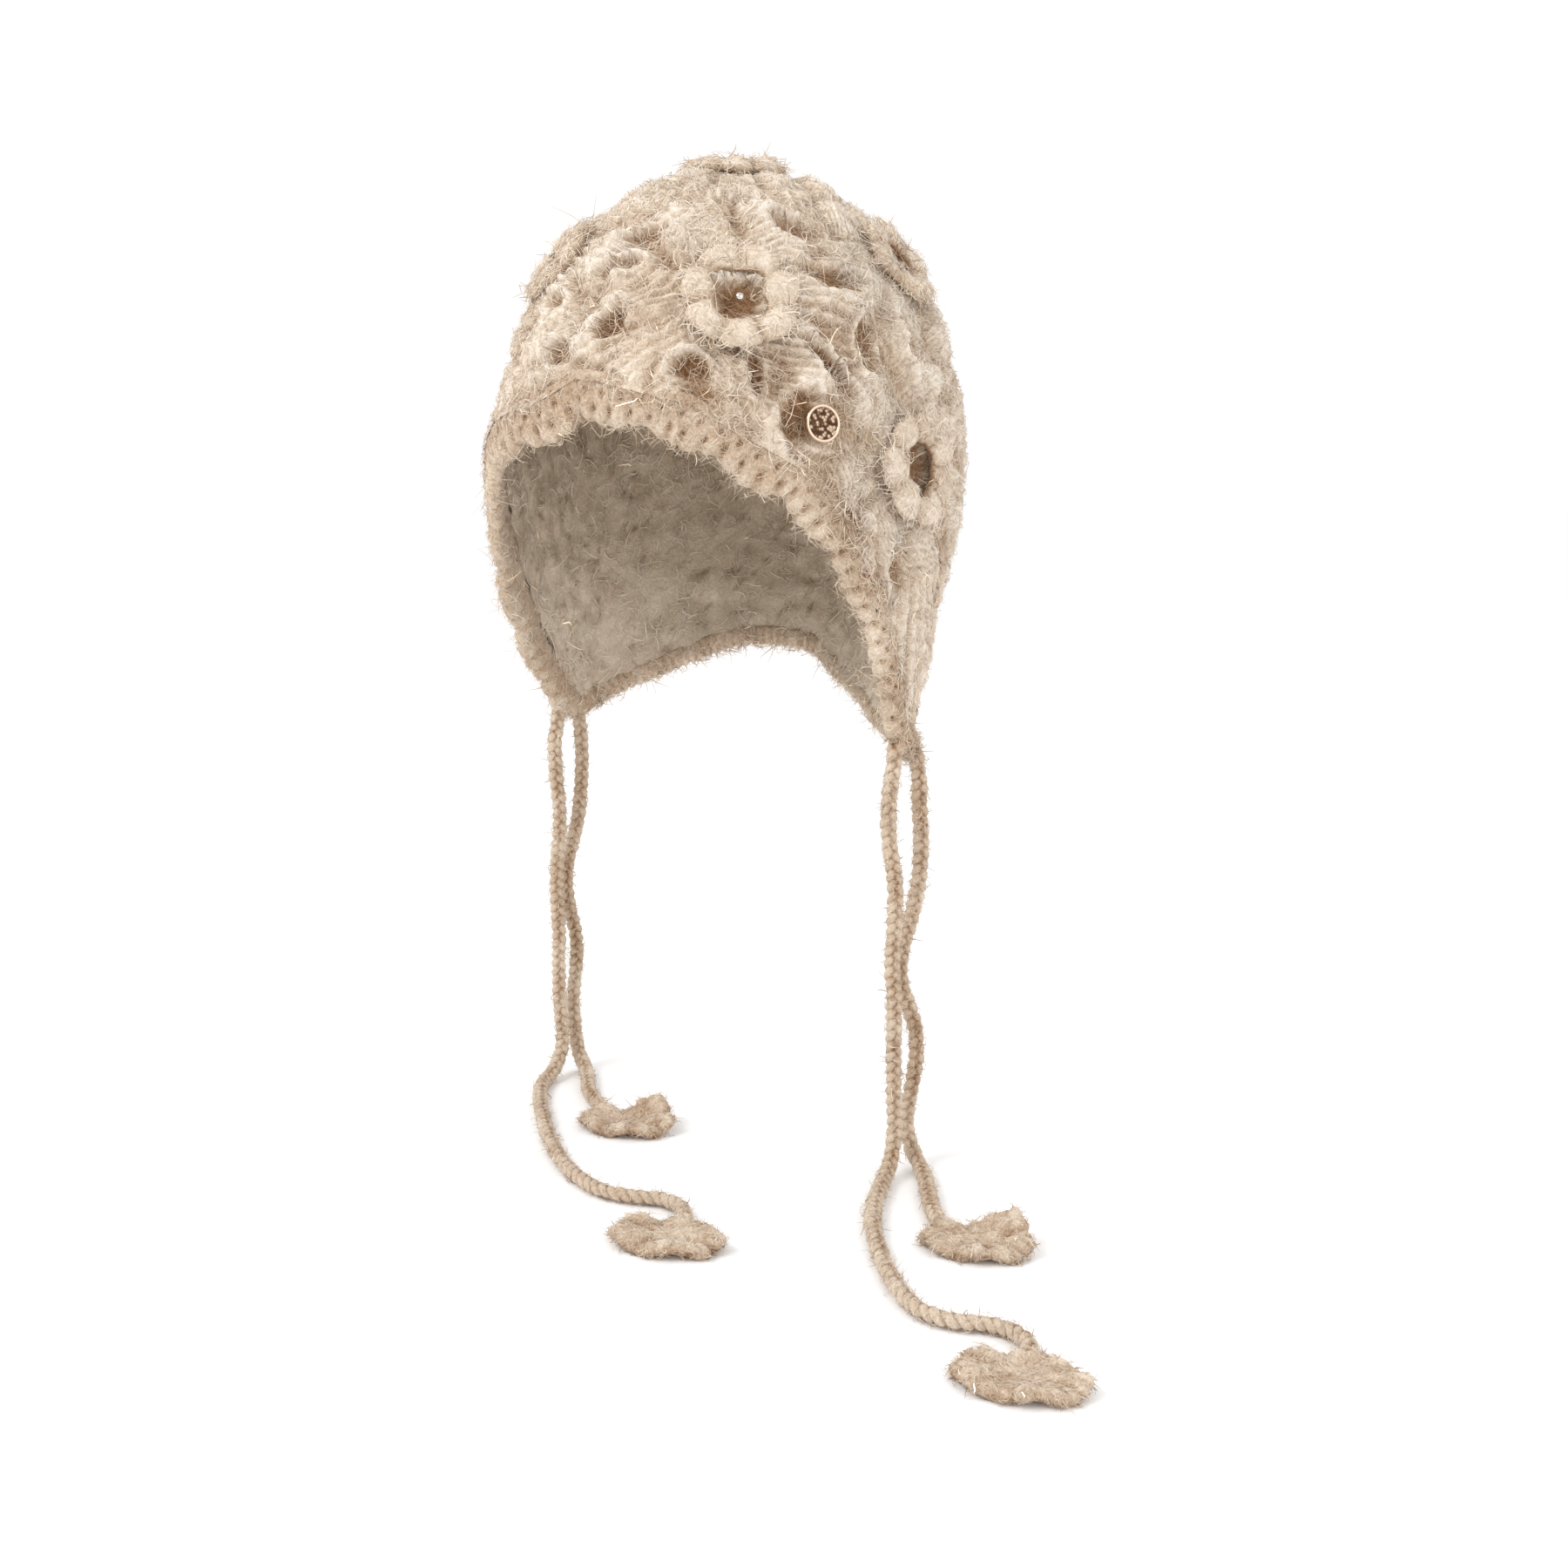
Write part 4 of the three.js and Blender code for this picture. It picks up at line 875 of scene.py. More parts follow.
inner_turns = body_turns(INNER_COLUMNS)
inner_shares = np.linspace(TOP_SHARE, 1, INNER_ROWS)
inner_turn, inner_share = np.meshgrid(inner_turns, inner_shares)
inner_level = column_level(inner_turn, inner_share, KNIT_WALL)
inner_form = form(inner_turn, inner_level, KNIT_WALL)
inner_normals = form_normal(inner_turn, inner_level)
tufts = noise(inner_form, TUFT_SIZE, 22)
inner_height = 1.2 * MM * noise(inner_form, INNER_LUMP_SIZE, 21) + 1.0 * MM * tufts
spots = 0.7 * smooth_step(noise(inner_form * [1, 1, 1.5], SPOT_SIZE, 23), 0.5, 0.8)
# Painted shade: the gaps between the stitches are painted dark as well as set back
inner_tone = 0.6 + 0.2 * tufts + 0.08 * noise(inner_form, 9 * MM, 24) - 0.45 * spots
# Painted light: the inside is painted lighter towards its lower edge, where more light reaches in
inner_tone = inner_tone + 0.14 * smooth_step(WIDEST - inner_level, 10 * MM, 80 * MM)
inner_points = inner_form + inner_normals * (inner_height + 1.2 * MM * spots - 0.5 * MM)[..., None]
inner_faces = grid_faces(INNER_ROWS, INNER_COLUMNS, close_columns=True)
hat_inside = make_mesh("hat_inside", inner_points, inner_faces, [inner_wool], {"tone": inner_tone})
print("hat_inside has", len(inner_faces) * 2, "triangles")

# %% [markdown]
# ## The edges
# The face opening has a border of shells, with picots along its edge and small eyelets between its stitches.
# The nape and the rear of the flaps have a narrow edge of single stitches. One knot could be copied along the
# edge, but the knots would not join, so a rounded strip is swept along the rim and carved by a formula.

# %% Stations along the rim
TIP_TURN = 94
STRIP_INSIDE = 4 * MM


def edge_stations(first, last, step):
    """Even steps along the rim: turns, distances, the wall's middle, and the ways across and away."""
    fine = np.linspace(first, last, 4000)
    outer = form(fine, rim_level(fine))
    run = distances(outer)
    run_even = np.linspace(0, run[-1], int(run[-1] / step))
    turn = np.interp(run_even, run, fine)
    outer, inner = form(turn, rim_level(turn)), form(turn, rim_level(turn), KNIT_WALL)
    along = unit(form(turn + 1.5, rim_level(turn + 1.5)) - form(turn - 1.5, rim_level(turn - 1.5)))
    across = unit(outer - inner)
    away = unit(np.cross(along, across))
    return turn, run_even, (outer + inner) / 2, across, away


def wave(run, pitch):
    """A row of knobs: 0 between them and 1 on their tops."""
    return np.abs(np.sin(np.pi * run / pitch))


def edge_strip(name, first, last, width, thickness, relief_of, material, sides=26, step=0.8 * MM):
    """A rounded strip along the rim. relief_of gives extra height and tone over the strip."""
    turn, run, middle, across, away = edge_stations(first, last, step)
    angle = 2 * np.pi * (np.arange(sides) + 0.5) / sides
    full = width(turn, run)[:, None]
    reach = (0.5 - 0.5 * np.cos(angle))[None] * (full + STRIP_INSIDE) - STRIP_INSIDE
    side = (np.sign(np.sin(angle)) * np.abs(np.sin(angle)) ** 0.7)[None]
    share = np.clip(reach / full, 0, 1)
    extra, tone = relief_of(run[:, None], share, side)
    half = thickness(run)[:, None] * (1 - 0.25 * share) + extra
    points = middle[:, None] + across[:, None] * (side * half)[..., None] + away[:, None] * reach[..., None]
    points = points + across[:, None] * (0.35 * MM * noise(points, 2.4 * MM, 31))[..., None]
    points = points + away[:, None] * (0.3 * MM * noise(points, 2.8 * MM, 32) * share)[..., None]
    faces = grid_faces(len(run), sides, close_columns=True, flip=True)
    last_row = (len(run) - 1) * sides
    caps = []
    for k in range(sides // 2 - 1):
        caps.append([k, k + 1, sides - 2 - k, sides - 1 - k])
        caps.append([last_row + sides - 1 - k, last_row + sides - 2 - k, last_row + k + 1, last_row + k])
    tone = tone + 0.07 * noise(points, 8 * MM, 33)
    return make_mesh(name, points, np.vstack([faces, caps]), [material], {"tone": tone})


print("the border runs", round(edge_stations(-TIP_TURN, TIP_TURN, MM)[1][-1] / MM), "mm along the rim")

# %% Border of shells
FAR_BORDER_EXTRA = 3.2 * MM


def border_fullness(turn):
    """1 over the brow, and less towards the tips of the flaps."""
    share = np.clip((np.abs(turn) - 62) / 24, 0, 1)
    return (BORDER_WIDTH + (BORDER_TIP_WIDTH - BORDER_WIDTH) * share) / BORDER_WIDTH


def border_width(turn, run):
    full = border_fullness(turn)
    wider = FAR_BORDER_EXTRA * smooth_step(-turn, 38, 60) * (1 - smooth_step(-turn, 82, 92))
    straight = wider + BORDER_WIDTH * full - PICOT_RISE - SCALLOP_RISE * full / 2
    picots = wave(run, PICOT_PITCH) ** 0.7 * PICOT_RISE * 1.15
    return straight + picots + wave(run, SCALLOP_PITCH) * SCALLOP_RISE * full


def border_thickness(run):
    return (KNIT_WALL / 2 + 0.8 * MM) * (0.85 + 0.25 * wave(run, PICOT_PITCH))


def border_relief(run, share, side):
    """Shells: picot knobs along the edge, and eyelets between the stitches further in."""
    outside = smooth_step(side, 0.0, 0.5)
    phase = run / PICOT_PITCH
    knob = wave(run, PICOT_PITCH) ** 0.8 * smooth_step(share, 0.5, 0.8)
    row = np.floor(share * 2.2)
    offset = (phase + 0.5 * (row % 2)) % 1 - 0.5
    across = (share * 2.2) % 1 - 0.5
    eyelet = np.exp(-((offset / 0.13) ** 2 + (across / 0.2) ** 2)) * (share > 0.12) * (share < 0.93)
    ribs = 0.4 * np.cos(2 * np.pi * (phase + 0.5 * (row % 2)))
    extra = outside * (0.6 * MM * knob - 2 * MM * eyelet + 0.45 * MM * ribs * (1 - eyelet))
    # Painted shade in the eyelets, and painted light on the knobs and ribs that stand out
    tone = 0.47 + 0.12 * knob - 0.34 * eyelet * outside + 0.05 * ribs
    return extra, tone


shell_border = edge_strip("shell_border", -TIP_TURN, TIP_TURN, border_width, border_thickness,
                          border_relief, border_wool)
print("shell_border has", len(shell_border.data.polygons), "faces")


# %% Edge of the hem
EDGE_GAP_TURN = 0.3


def hem_width(_, run):
    return HEM_WIDTH - 1 * MM + wave(run, PICOT_PITCH / 2) * 1.4 * MM


def hem_thickness(run):
    return (KNIT_WALL / 2 + 0.3 * MM) * (0.85 + 0.25 * wave(run, PICOT_PITCH / 2))


def hem_relief(run, share, _):
    knob = wave(run, PICOT_PITCH / 2)
    # Painted shade between the knobs, and painted light on their outer tops
    return 0.5 * MM * knob * share, 0.5 + 0.15 * knob * share - 0.12 * (1 - knob)


hem_stitches = edge_strip("hem_stitches", TIP_TURN + EDGE_GAP_TURN, 360 - TIP_TURN - EDGE_GAP_TURN,
                          hem_width, hem_thickness, hem_relief, border_wool, sides=18, step=0.9 * MM)
print("hem_stitches has", len(hem_stitches.data.polygons), "faces")

# %% [markdown]
# ## The flowers of the crown
# Each is a ring of puffed petals round an open heart. Separate balls would show gaps, so one closed ring is
# made thicker at each petal and thinner between them, and it is bent with the crown beneath it.

# %% Crown flowers
FLOWER_SIDES = 150
PETAL_SIDES = 30


def petal_sizes(row, turn, seed):
    """How full each petal is round the ring, no two alike."""
    about = (turn - math.radians(row["start"])) * row["petals"] / 2
    petal = np.floor(about / np.pi + 0.5) % row["petals"]
    lobe = np.abs(np.cos(about)) ** 0.55
    return lobe * (0.82 + 0.25 * lattice(np.stack([petal, 0 * turn, 0 * turn], axis=-1), seed))


def crown_flower(row):
    """One flower: its ring runs round the heart, and its rows run round each petal."""
    origin, out, side, up = row["frame"]
    outer, heart = row["radius"] * CROWN_HALF_WIDTH, row["hollow"] * CROWN_HALF_WIDTH
    turn = 2 * np.pi * np.arange(FLOWER_SIDES) / FLOWER_SIDES
    about = 2 * np.pi * np.arange(PETAL_SIDES) / PETAL_SIDES
    seed = sum(map(ord, row["name"]))
    lobe = petal_sizes(row, turn, seed)
    ring = np.stack([np.cos(turn), np.sin(turn), 0 * turn], axis=-1)
    heart = heart * (0.88 + 0.3 * noise(ring, 0.8, seed))
    half_width = (outer - heart) / 2 * (0.72 + 0.36 * lobe)
    half_height = FLOWER_HEIGHT / 2 * (0.62 + 0.5 * lobe)
    centre = heart + (outer - heart) / 2 * (0.8 + 0.24 * lobe)
    lean = 0.4 * half_height[:, None] * np.sin(about)[None]
    reach = centre[:, None] + half_width[:, None] * np.cos(about)[None] + lean
    sink = FLOWER_SINK.get(row["name"], USUAL_FLOWER_SINK)
    lift = half_height[:, None] * (1 + np.sin(about)[None]) - sink
    flat = (origin + side * (np.cos(turn)[:, None] * reach)[..., None]
            + up * (np.sin(turn)[:, None] * reach)[..., None])
    points = onto_form(flat) + out * lift[..., None]
    rough = 0.9 * MM * noise(points, 6 * MM, seed) + 0.5 * MM * noise(points, 2.4 * MM, seed + 1)
    faces = grid_faces(FLOWER_SIDES, PETAL_SIDES, close_rows=True, close_columns=True)
    outward = point_normals(points.reshape(-1, 3), faces).reshape(points.shape)
    if (outward[:, PETAL_SIDES // 4] @ out).mean() < 0:
        faces, outward = faces[:, ::-1], -outward
    points = points + outward * rough[..., None]
    inner_face = smooth_step(-np.cos(about), 0.1, 0.9) * smooth_step(1 - np.sin(about), 0.3, 1.4)
    upper = smooth_step(np.sin(about), -0.3, 0.8)[None]
    # Painted light and shade: each petal is painted lighter on its upper side, and darker on the side facing
    # the heart and between the petals
    tone = (0.49 + 0.24 * upper * (0.6 + 0.4 * lobe[:, None]) - 0.26 * inner_face[None]
            - 0.14 * (1 - lobe[:, None]) + 0.05 * noise(points, 4 * MM, seed + 2))
    return make_mesh(row["name"].replace("flower", "petals"), points, faces, [flower_wool], {"tone": tone})


crown_flowers = [(row, crown_flower(row)) for row in flower_rows]
print(len(crown_flowers), "crown flowers")

# %% [markdown]
# ## The flowers of the ties
# Thick ruffled ovals of eight petals. Those of the short ties have one petal that stands up. They could be
# cloth that is let fall, but they would lie otherwise each time, so their waves are given by a formula.

# %% End flowers
END_SIDES = 176
END_PETALS = 8
END_WAVES = 5
END_BOBBLES = 22
RUFFLE = 2.2 * MM
RAISED_PETAL = 9 * MM
RAISED_PETAL_TURN = math.radians(50)
FLAT_ROWS, RIM_ROWS, UNDER_ROWS = 17, 16, 9
FLAT_SHARE = 0.86


def end_profile():
    """Shares of the radius from the middle over the rim and back, and how far up each one lies."""
    about = np.linspace(0, np.pi, 2 * RIM_ROWS + 2)[1:RIM_ROWS + 1]
    share = np.concatenate([np.linspace(0.02, FLAT_SHARE, FLAT_ROWS), FLAT_SHARE + 0.14 * np.sin(about),
                            np.linspace(0.97, 0.05, UNDER_ROWS)])
    upper = np.concatenate([np.ones(FLAT_ROWS), 0.5 + 0.5 * np.cos(about), np.zeros(UNDER_ROWS)])
    return share, upper[None]


def end_flower(tie):
    """The flower on the end of a tie, resting on the surface below."""
    radius = END_FLOWER_RADIUS[tie["kind"]]
    lifted = RAISED_PETAL if tie["kind"] == "short" else 0
    seed = 50 + sum(map(ord, tie["name"]))
    turn = 2 * np.pi * np.arange(END_SIDES) / END_SIDES
    share, upper = end_profile()
    lobe = np.abs(np.cos(turn * END_PETALS / 2))[:, None] ** 0.7
    reach = radius * share[None] * (1 - 0.05 * share[None] * (1 - lobe))
    near = np.maximum(0, np.cos(turn - RAISED_PETAL_TURN))[:, None] ** 6
    lift = lifted * near * share[None] ** 2
    ruffle = RUFFLE * share[None] * (0.5 + 0.5 * np.cos(turn * END_WAVES))[:, None]
    puff = 1 - 0.35 * share[None] ** 4
    thick = END_FLOWER_THICKNESS * puff * (0.8 + 0.25 * lobe * smooth_step(share, 0.3, 0.8)[None])
    level = lift + ruffle + 0.5 * MM + thick * upper
    across = np.sin(turn)[:, None] * reach * END_FLOWER_OVAL
    local = np.stack([np.cos(turn)[:, None] * reach, across, level], axis=-1)
    points = local @ tie["spin"] + tie["middle"]
    faces = grid_faces(END_SIDES, len(share), close_rows=True)
    faces = faces[:, ::-1] if point_normals(points.reshape(-1, 3), faces)[8, 2] < 0 else faces
    outward = point_normals(points.reshape(-1, 3), faces).reshape(points.shape)
    knots = noise(points, 4.2 * MM, seed)
    crease = (1 - lobe) * smooth_step(share, 0.25, 0.6)[None]
    bobbles = np.abs(np.cos(turn * END_BOBBLES / 2))[:, None] * smooth_step(share, 0.6, 0.9)[None]
    rough = 0.7 * MM * knots + 0.4 * MM * noise(points, 2.2 * MM, seed + 1) - 0.4 * MM * crease
    rough = (rough + 0.9 * MM * bobbles) * (0.35 + 0.65 * upper)
    points = points + outward * rough[..., None]
    points[..., 2] = np.maximum(points[..., 2], REST + 0.2 * MM)
    # Painted shade and light: darker in the creases between petals and on the underside, lighter on the knots
    # and bobbles that stand out
    tone = 0.52 + 0.14 * knots - 0.1 * crease + 0.06 * bobbles - 0.2 * (1 - upper)
    return make_mesh("tie_petals_" + tie["name"], points, faces, [flower_wool], {"tone": tone})


for tie in ties:
    tie["flower"] = end_flower(tie)
print("end flowers stand on", round(REST, 4))

# %% [markdown]
# ## Metal pieces
# A pebbled disc with a plain rim on the wearer's left side, and a small bead in the front flower's heart.
# Both are turned shapes, as from a lathe. A screw modifier would do, but a list of radii and heights is short
# and gives each row of faces its own metal.

# %% Turned shapes
def turned_shape(name, profile, sides, centre, out, materials, face_rows):
    """A shape turned round the direction out. profile has (radius, height) rows from the top down."""
    level = np.cross(out, (0, 0, 1))
    a, b = unit(level), unit(np.cross(out, level))
    turn = 2 * np.pi * np.arange(sides) / sides
    profile = np.array(profile)
    ring = np.cos(turn)[:, None] * a + np.sin(turn)[:, None] * b
    points = centre + profile[:, 0][:, None, None] * ring[None] + profile[:, 1][:, None, None] * out
    faces = grid_faces(len(profile), sides, close_columns=True, flip=True)
    slots = np.repeat(face_rows, sides)
    return make_mesh(name, points, faces, materials, face_material=slots)


def middle_of(node):
    """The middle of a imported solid's box."""
    low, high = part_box(node)
    return np.array((low + high) / 2)


print("the badge sits at", middle_of("badge").round(4))

# %% Badge
BADGE_RADIUS = 6.6 * MM
BADGE_THICKNESS = 1.8 * MM
badge_out = seat_frame(*BADGE_SEAT)[1]
dome = [(BADGE_RADIUS * 0.84 * s, BADGE_THICKNESS * (0.33 - 0.1 * s * s)) for s in np.linspace(0.02, 1, 12)]
bevel = [(BADGE_RADIUS * (0.92 - 0.08 * math.cos(a)), BADGE_THICKNESS * (0.3 + 0.2 * math.sin(a)))
         for a in np.linspace(0, math.pi, 9)]
wall = [(BADGE_RADIUS, BADGE_THICKNESS * h) for h in (0.1, -0.3, -0.5)]
back = [(BADGE_RADIUS * s, -BADGE_THICKNESS * 0.5) for s in (0.7, 0.3, 0.02)]
badge_profile = dome + bevel + wall + back
badge_rows = np.array([0] * (len(dome) - 1) + [1] * (len(badge_profile) - len(dome)))
badge_disc = turned_shape("badge_disc", badge_profile, 72, middle_of("badge"), badge_out,
                          [badge_metal, rim_metal], badge_rows)
print("badge_disc has", len(badge_disc.data.polygons), "faces")

# %% Bead
BEAD_RADIUS = 1.7 * MM
bead_out = seat_frame(*BEAD_SEAT)[1]
bead_profile = [(BEAD_RADIUS * math.sin(a), BEAD_RADIUS * 0.94 * math.cos(a))
                for a in np.linspace(0.03 * math.pi, 0.97 * math.pi, 26)]
bead = turned_shape("round_bead", bead_profile, 40, middle_of("flower_bead"), bead_out, [bead_metal],
                    np.zeros(len(bead_profile) - 1, int))
print("round_bead has", len(bead.data.polygons), "faces")

# %% [markdown]
# ## Loose hairs
# Brushing pulls fibres out of the yarn. Most lie over the stitches, some stand up and make the halo, and a
# few are lengths of gold film. Blender has hair of its own, but only meshes are sure to be exported, so each
# hair is a thin curved ribbon that leans along the lay. A real one is some 0.04 mm thick, and these are 0.25
# to 0.4 mm wide, as a tuft of them would be, so that they show.

# %% Surfaces and spots
def surface(piece):
    """Points, faces, normals and tones of a piece made above."""
    mesh = piece.data
    points = np.empty(len(mesh.vertices) * 3, np.float32)
    faces = np.empty(len(mesh.loops), np.int32)
    tone = np.empty(len(mesh.vertices), np.float32)
    mesh.vertices.foreach_get("co", points)
    mesh.loops.foreach_get("vertex_index", faces)
    mesh.attributes["tone"].data.foreach_get("value", tone)
    points, faces = points.reshape(-1, 3).astype(float), faces.reshape(-1, 4)
    return points, faces, point_normals(points, faces), tone[:, None].astype(float)


def scatter(points, faces, fields, count, rng):
    """Random spots on a mesh of quads, with the value of each field there."""
    corners = points[faces]
    area = np.linalg.norm(np.cross(corners[:, 2] - corners[:, 0], corners[:, 3] - corners[:, 1]), axis=1)
    pick = faces[rng.choice(len(faces), count, p=area / area.sum())]
    u, v = rng.random((2, count, 1))
    shares = ((1 - u) * (1 - v), u * (1 - v), u * v, (1 - u) * v)
    return [sum(share * field[pick[:, k]] for k, share in enumerate(shares)) for field in (points, *fields)]


print("hat_knit is read back as", len(surface(hat_knit)[0]), "points")

# %% Hair shapes
HAIR_SPREAD = 0.9
HAIR_CURL = 0.75


def hair_lines(roots, normals, lay, length, rise, rng):
    """Four points along each hair, which leans along the lay, curls sideways and rises."""
    count = len(roots)
    lay = unit(lay - normals * (lay * normals).sum(axis=1, keepdims=True))
    side = np.cross(normals, lay)
    swing = rng.normal(0, HAIR_SPREAD, (count, 1))
    lean = lay * np.cos(swing) + side * np.sin(swing)
    side = side * np.cos(swing) - lay * np.sin(swing)
    way = np.linspace(0, 1, 4)[None, :, None]
    bend, wave_size = rng.normal(0, HAIR_CURL, (2, count, 1, 1))
    aside = bend * way ** 2 + 0.6 * wave_size * np.sin(np.pi * way)
    lines = roots[:, None] + length[:, None, None] * (lean[:, None] * way + side[:, None] * aside)
    return lines + normals[:, None] * (rise[:, None, None] * way ** 0.8)


def ribbons(name, lines, facing, tone, materials, width, rng, glints):
    """One mesh of flat hairs along their lines. A share of them takes the second material."""
    count = len(lines)
    across = unit(np.cross(facing[:, None], np.gradient(lines, axis=1)))
    taper = np.array([0.8, 1.0, 0.85, 0.35])[None, :, None]
    half = width / 2 * rng.uniform(0.7, 1.35, (count, 1, 1)) * taper
    points = np.stack([lines - across * half, lines + across * half], axis=2)
    first = 8 * np.arange(count)[:, None] + 2 * np.arange(3)[None]
    faces = np.stack([first, first + 1, first + 3, first + 2], axis=-1).reshape(-1, 4)
    slots = np.repeat((rng.random(count) < glints).astype(int), 3)
    return make_mesh(name, points, faces, materials, {"tone": np.repeat(tone, 8)}, slots)


def coat(name, piece, lay_of, count, seed, length, rise, upright, width, brighten,
         materials=(halo_wool, gold_film), glints=0.035, settle=None):
    """Hairs over a piece.

    lay_of gives their lay and normals, upright is the share of them that stand, rise is how high those do,
    brighten is added to the tone of the yarn, glints is the share of the second material, and settle lays
    the others on a relief.
    """
    rng = np.random.default_rng(seed)
    points, faces, normals, tone = surface(piece)
    roots, normals, tone = scatter(points, faces, (normals, tone), count, rng)
    lay, normals = lay_of(roots, unit(normals))
    size = length * rng.uniform(0.6, 1.4, count)
    stands = rng.random(count) < upright
    lift = np.where(stands, rise * rng.uniform(0.5, 1.3, count), rise * rng.uniform(0.02, 0.22, count))
    size = np.where(stands, size * 0.75, size)
    lines = hair_lines(roots, normals, lay, size, lift, rng)
    if settle is not None:
        lines = np.where(stands[:, None, None], lines, settle(lines, normals, rng))
    lines[..., 2] = np.maximum(lines[..., 2], REST + 0.4 * MM)
    facing = unit(normals + rng.normal(0, 0.45, normals.shape))
    # The hairs take the tone at their roots, painted shade and light included, and the standing ones are
    # painted lighter still
    shade = tone[:, 0] + brighten + 0.1 * stands + rng.normal(0, 0.055, count)
    return ribbons(name, lines, facing, shade, materials, width, rng, glints)


# %% Lay of the hairs
def crown_lay(roots, normals):
    """Out from the nearest flower in loose swirls."""
    which = nearest_flower(roots)[0]
    origins = np.array([row["frame"][0] for row in flower_rows])[which]
    turn = np.degrees(np.arctan2(roots[:, 0], -roots[:, 1]))
    normals = form_normal(turn, np.minimum(roots[:, 2], WIDEST + 0.97 * CROWN_RISE))
    out = unit(roots - origins)
    swirl = 1.1 * noise(roots, 15 * MM, 61)[:, None]
    return out * np.cos(swirl) + np.cross(normals, out) * np.sin(swirl), normals


def crown_settle(lines, normals, rng):
    """Lays the hairs of the crown on its relief."""
    flat = onto_form(lines)
    turn = np.degrees(np.arctan2(flat[..., 0], -flat[..., 1]))
    fade = smooth_step(flat[..., 2] - rim_level(turn), 0, RIM_FADE)
    height = relief(flat)[0] * fade + RIM_HEIGHT * (1 - fade)
    arch = np.array([-0.2, 0.45, 0.6, 0.25]) * MM * rng.uniform(0.5, 2.2, (len(lines), 1))
    return flat + normals[:, None] * (height + arch)[..., None]


def loose_lay(roots, normals):
    """Down and about, in loose swirls."""
    drift = np.stack([noise(roots, 13 * MM, 62 + k) for k in range(3)], axis=1)
    return drift * 1.3 + [0, 0, -0.5], normals


def petal_lay(row):
    """Over the petals from the heart outwards."""
    origin, out = row["frame"][:2]

    def lay(roots, normals):
        outwards = unit(roots - origin)
        swirl = 0.5 * noise(roots, 7 * MM, 66)[:, None]
        return outwards + swirl * np.cross(normals, outwards), unit(normals + 0.6 * out)
    return lay


def cord_lay(line):
    """Along the cord and away from it."""
    def lay(roots, _):
        near = np.linalg.norm(roots[:, None] - line[None], axis=2).argmin(axis=1)
        return unit(np.gradient(line, axis=0))[near], unit(roots - line[near])
    return lay


def end_lay(tie):
    """Outwards from the middle of an end flower."""
    return lambda roots, normals: (roots - tie["middle"], unit(normals + [0, 0, 0.4]))


# %% Hairs of each piece
CORD_HAIRS_PER_METRE = 9000

crown_hairs = coat("crown_hairs", hat_knit, crown_lay, count=30500, seed=71, length=5.2 * MM, rise=2 * MM,
                   upright=0.07, width=0.25 * MM, brighten=0.07, settle=crown_settle)
inside_hairs = coat("inside_hairs", hat_inside, loose_lay, count=11500, seed=72, length=6.5 * MM,
                    rise=2.2 * MM, upright=0.35, width=0.4 * MM, brighten=0.14,
                    materials=(inner_halo, gold_film), glints=0.01)
border_hairs = coat("border_hairs", shell_border, loose_lay, count=8800, seed=73, length=4 * MM,
                    rise=1.5 * MM, upright=0.1, width=0.26 * MM, brighten=0.05)
hem_hairs = coat("hem_hairs", hem_stitches, loose_lay, count=3000, seed=74, length=4.5 * MM, rise=2.4 * MM,
                 upright=0.3, width=0.3 * MM, brighten=0.1)
petal_hairs = [coat(row["name"].replace("flower", "petal_hairs"), flower, petal_lay(row), count=1150,
                    seed=80 + k, length=4.5 * MM, rise=1.8 * MM, upright=0.2, width=0.3 * MM, brighten=0.04)
               for k, (row, flower) in enumerate(crown_flowers)]
cord_hairs = [coat("cord_hairs_" + tie["name"], tie["cord"], cord_lay(tie["line"]),
                   count=int(CORD_HAIRS_PER_METRE * tie["length"]), seed=90 + k, length=2.9 * MM,
                   rise=0.6 * MM, upright=0.05, width=0.26 * MM, brighten=0.02)
              for k, tie in enumerate(ties)]
end_hairs = [coat("end_hairs_" + tie["name"], tie["flower"], end_lay(tie), count=1500, seed=95 + k,
                  length=2.4 * MM, rise=1.2 * MM, upright=0.15, width=0.28 * MM, brighten=0.03)
             for k, tie in enumerate(ties)]

# %% [markdown]
# ## What each piece stands for
# The imported solids stay as they are, and the pieces that stand for them are shown instead. Every piece
# rides on the body. Each tie is a cord that hangs and then lies on the surface, with its flower on its end.

# %% Riding and replacing
def dress(piece, node):
    """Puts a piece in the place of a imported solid."""
    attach(piece, "root")
    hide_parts(node)


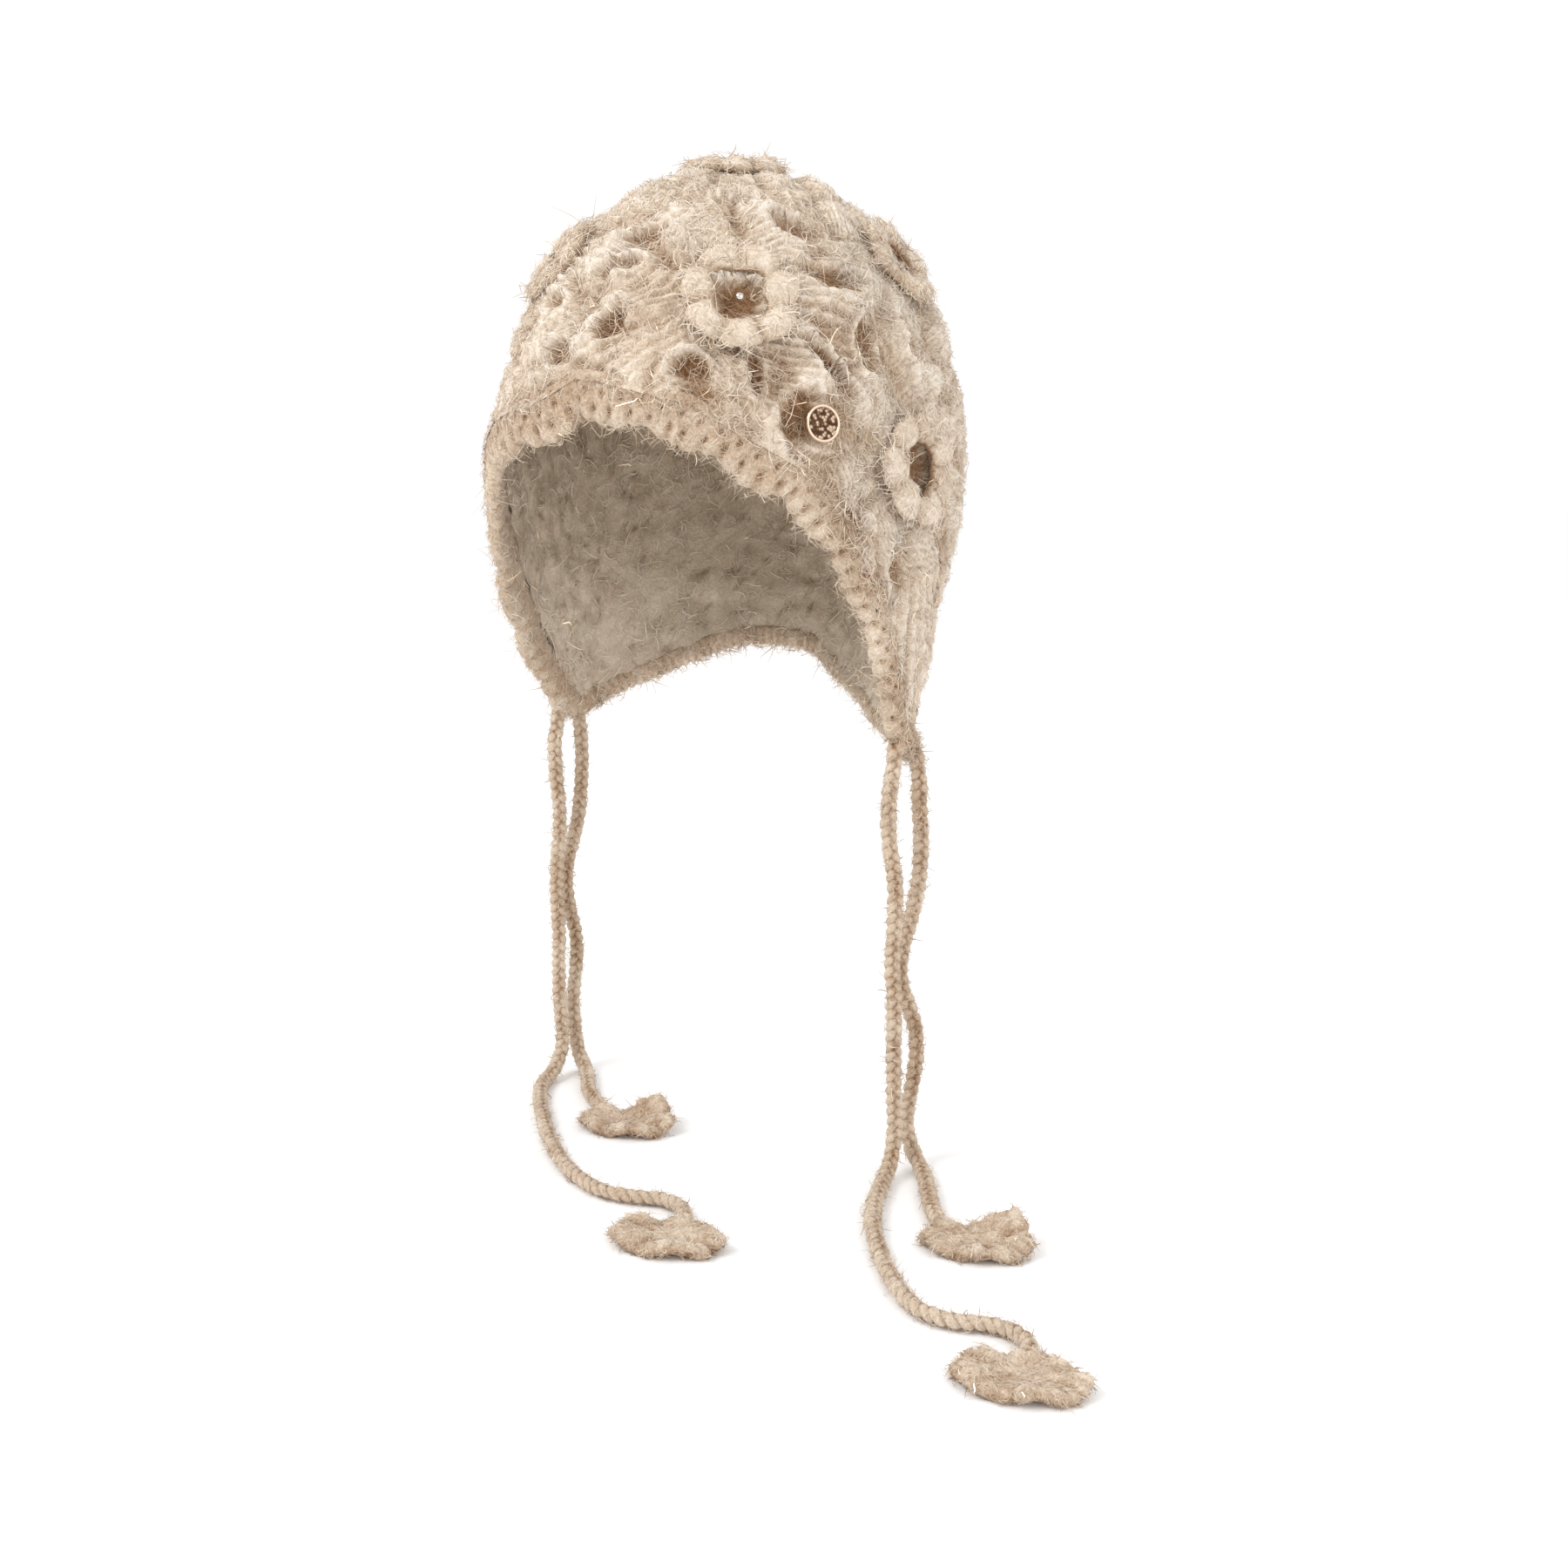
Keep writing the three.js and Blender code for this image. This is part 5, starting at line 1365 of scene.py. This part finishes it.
dress(hat_knit, "hat_body")
dress(hat_inside, "hat_body")
dress(shell_border, "front_border")
dress(hem_stitches, "hem_edge")
dress(badge_disc, "badge")
dress(bead, "flower_bead")
dress(crown_hairs, "hat_body")
dress(inside_hairs, "hat_body")
dress(border_hairs, "front_border")
dress(hem_hairs, "hem_edge")
for (row, flower), hairs in zip(crown_flowers, petal_hairs):
    dress(flower, row["name"])
    dress(hairs, row["name"])
for tie, along_cord, on_flower in zip(ties, cord_hairs, end_hairs):
    dress(along_cord, "cord_" + tie["name"])
    dress(on_flower, "tie_flower_" + tie["name"])
    dress(tie["cord"], "cord_" + tie["name"])
    dress(tie["flower"], "tie_flower_" + tie["name"])
print(len(ties), "cords and", len(crown_flowers), "crown flowers are dressed")

# %% [markdown]
# ## Floor and light
# A plain white floor, a white surrounding and soft lights, as for a product picture. A dark studio with more
# lamps would give sharper shadows than the soft ones that wool needs.

# %% Floor
FLOOR_HALF = 6.0

floor_material, tree = new_material("matt_white_floor")
shader = add_node(tree, "ShaderNodeBsdfPrincipled",
                  {"Base Color": linear("#fbfbfb"), "Roughness": 0.9, "Specular IOR Level": 0.1})
add_node(tree, "ShaderNodeOutputMaterial", links={"Surface": shader.outputs["BSDF"]})
floor_corners = [(x * FLOOR_HALF, y * FLOOR_HALF, REST) for x, y in ((-1, -1), (1, -1), (1, 1), (-1, 1))]
floor = make_mesh("floor", floor_corners, [(0, 1, 2, 3)], [floor_material], smooth=False)
print("the floor lies at", round(REST, 4))

# %% Light
SURROUNDING = 1.04

world = bpy.data.worlds.new("white_surrounding")
world.use_nodes = True
bpy.context.scene.world = world
background = world.node_tree.nodes["Background"]
background.inputs["Color"].default_value = linear("#ffffff")
background.inputs["Strength"].default_value = SURROUNDING


def soft_light(name, place, size, power, target=(0, 0, -0.12)):
    """A round lamp that looks at the target."""
    data = bpy.data.lights.new(name, "AREA")
    data.shape = "DISK"
    data.size = size
    data.energy = power
    light = bpy.data.objects.new(name, data)
    light.location = place
    light.rotation_euler = (Vector(target) - Vector(place)).to_track_quat("-Z", "Y").to_euler()
    bpy.context.scene.collection.objects.link(light)


soft_light("key", (-0.35, -1.05, 0.85), size=0.7, power=9)
soft_light("fill", (1.3, -0.3, 0.3), size=1.0, power=3)
bpy.context.scene.view_settings.view_transform = "Standard"
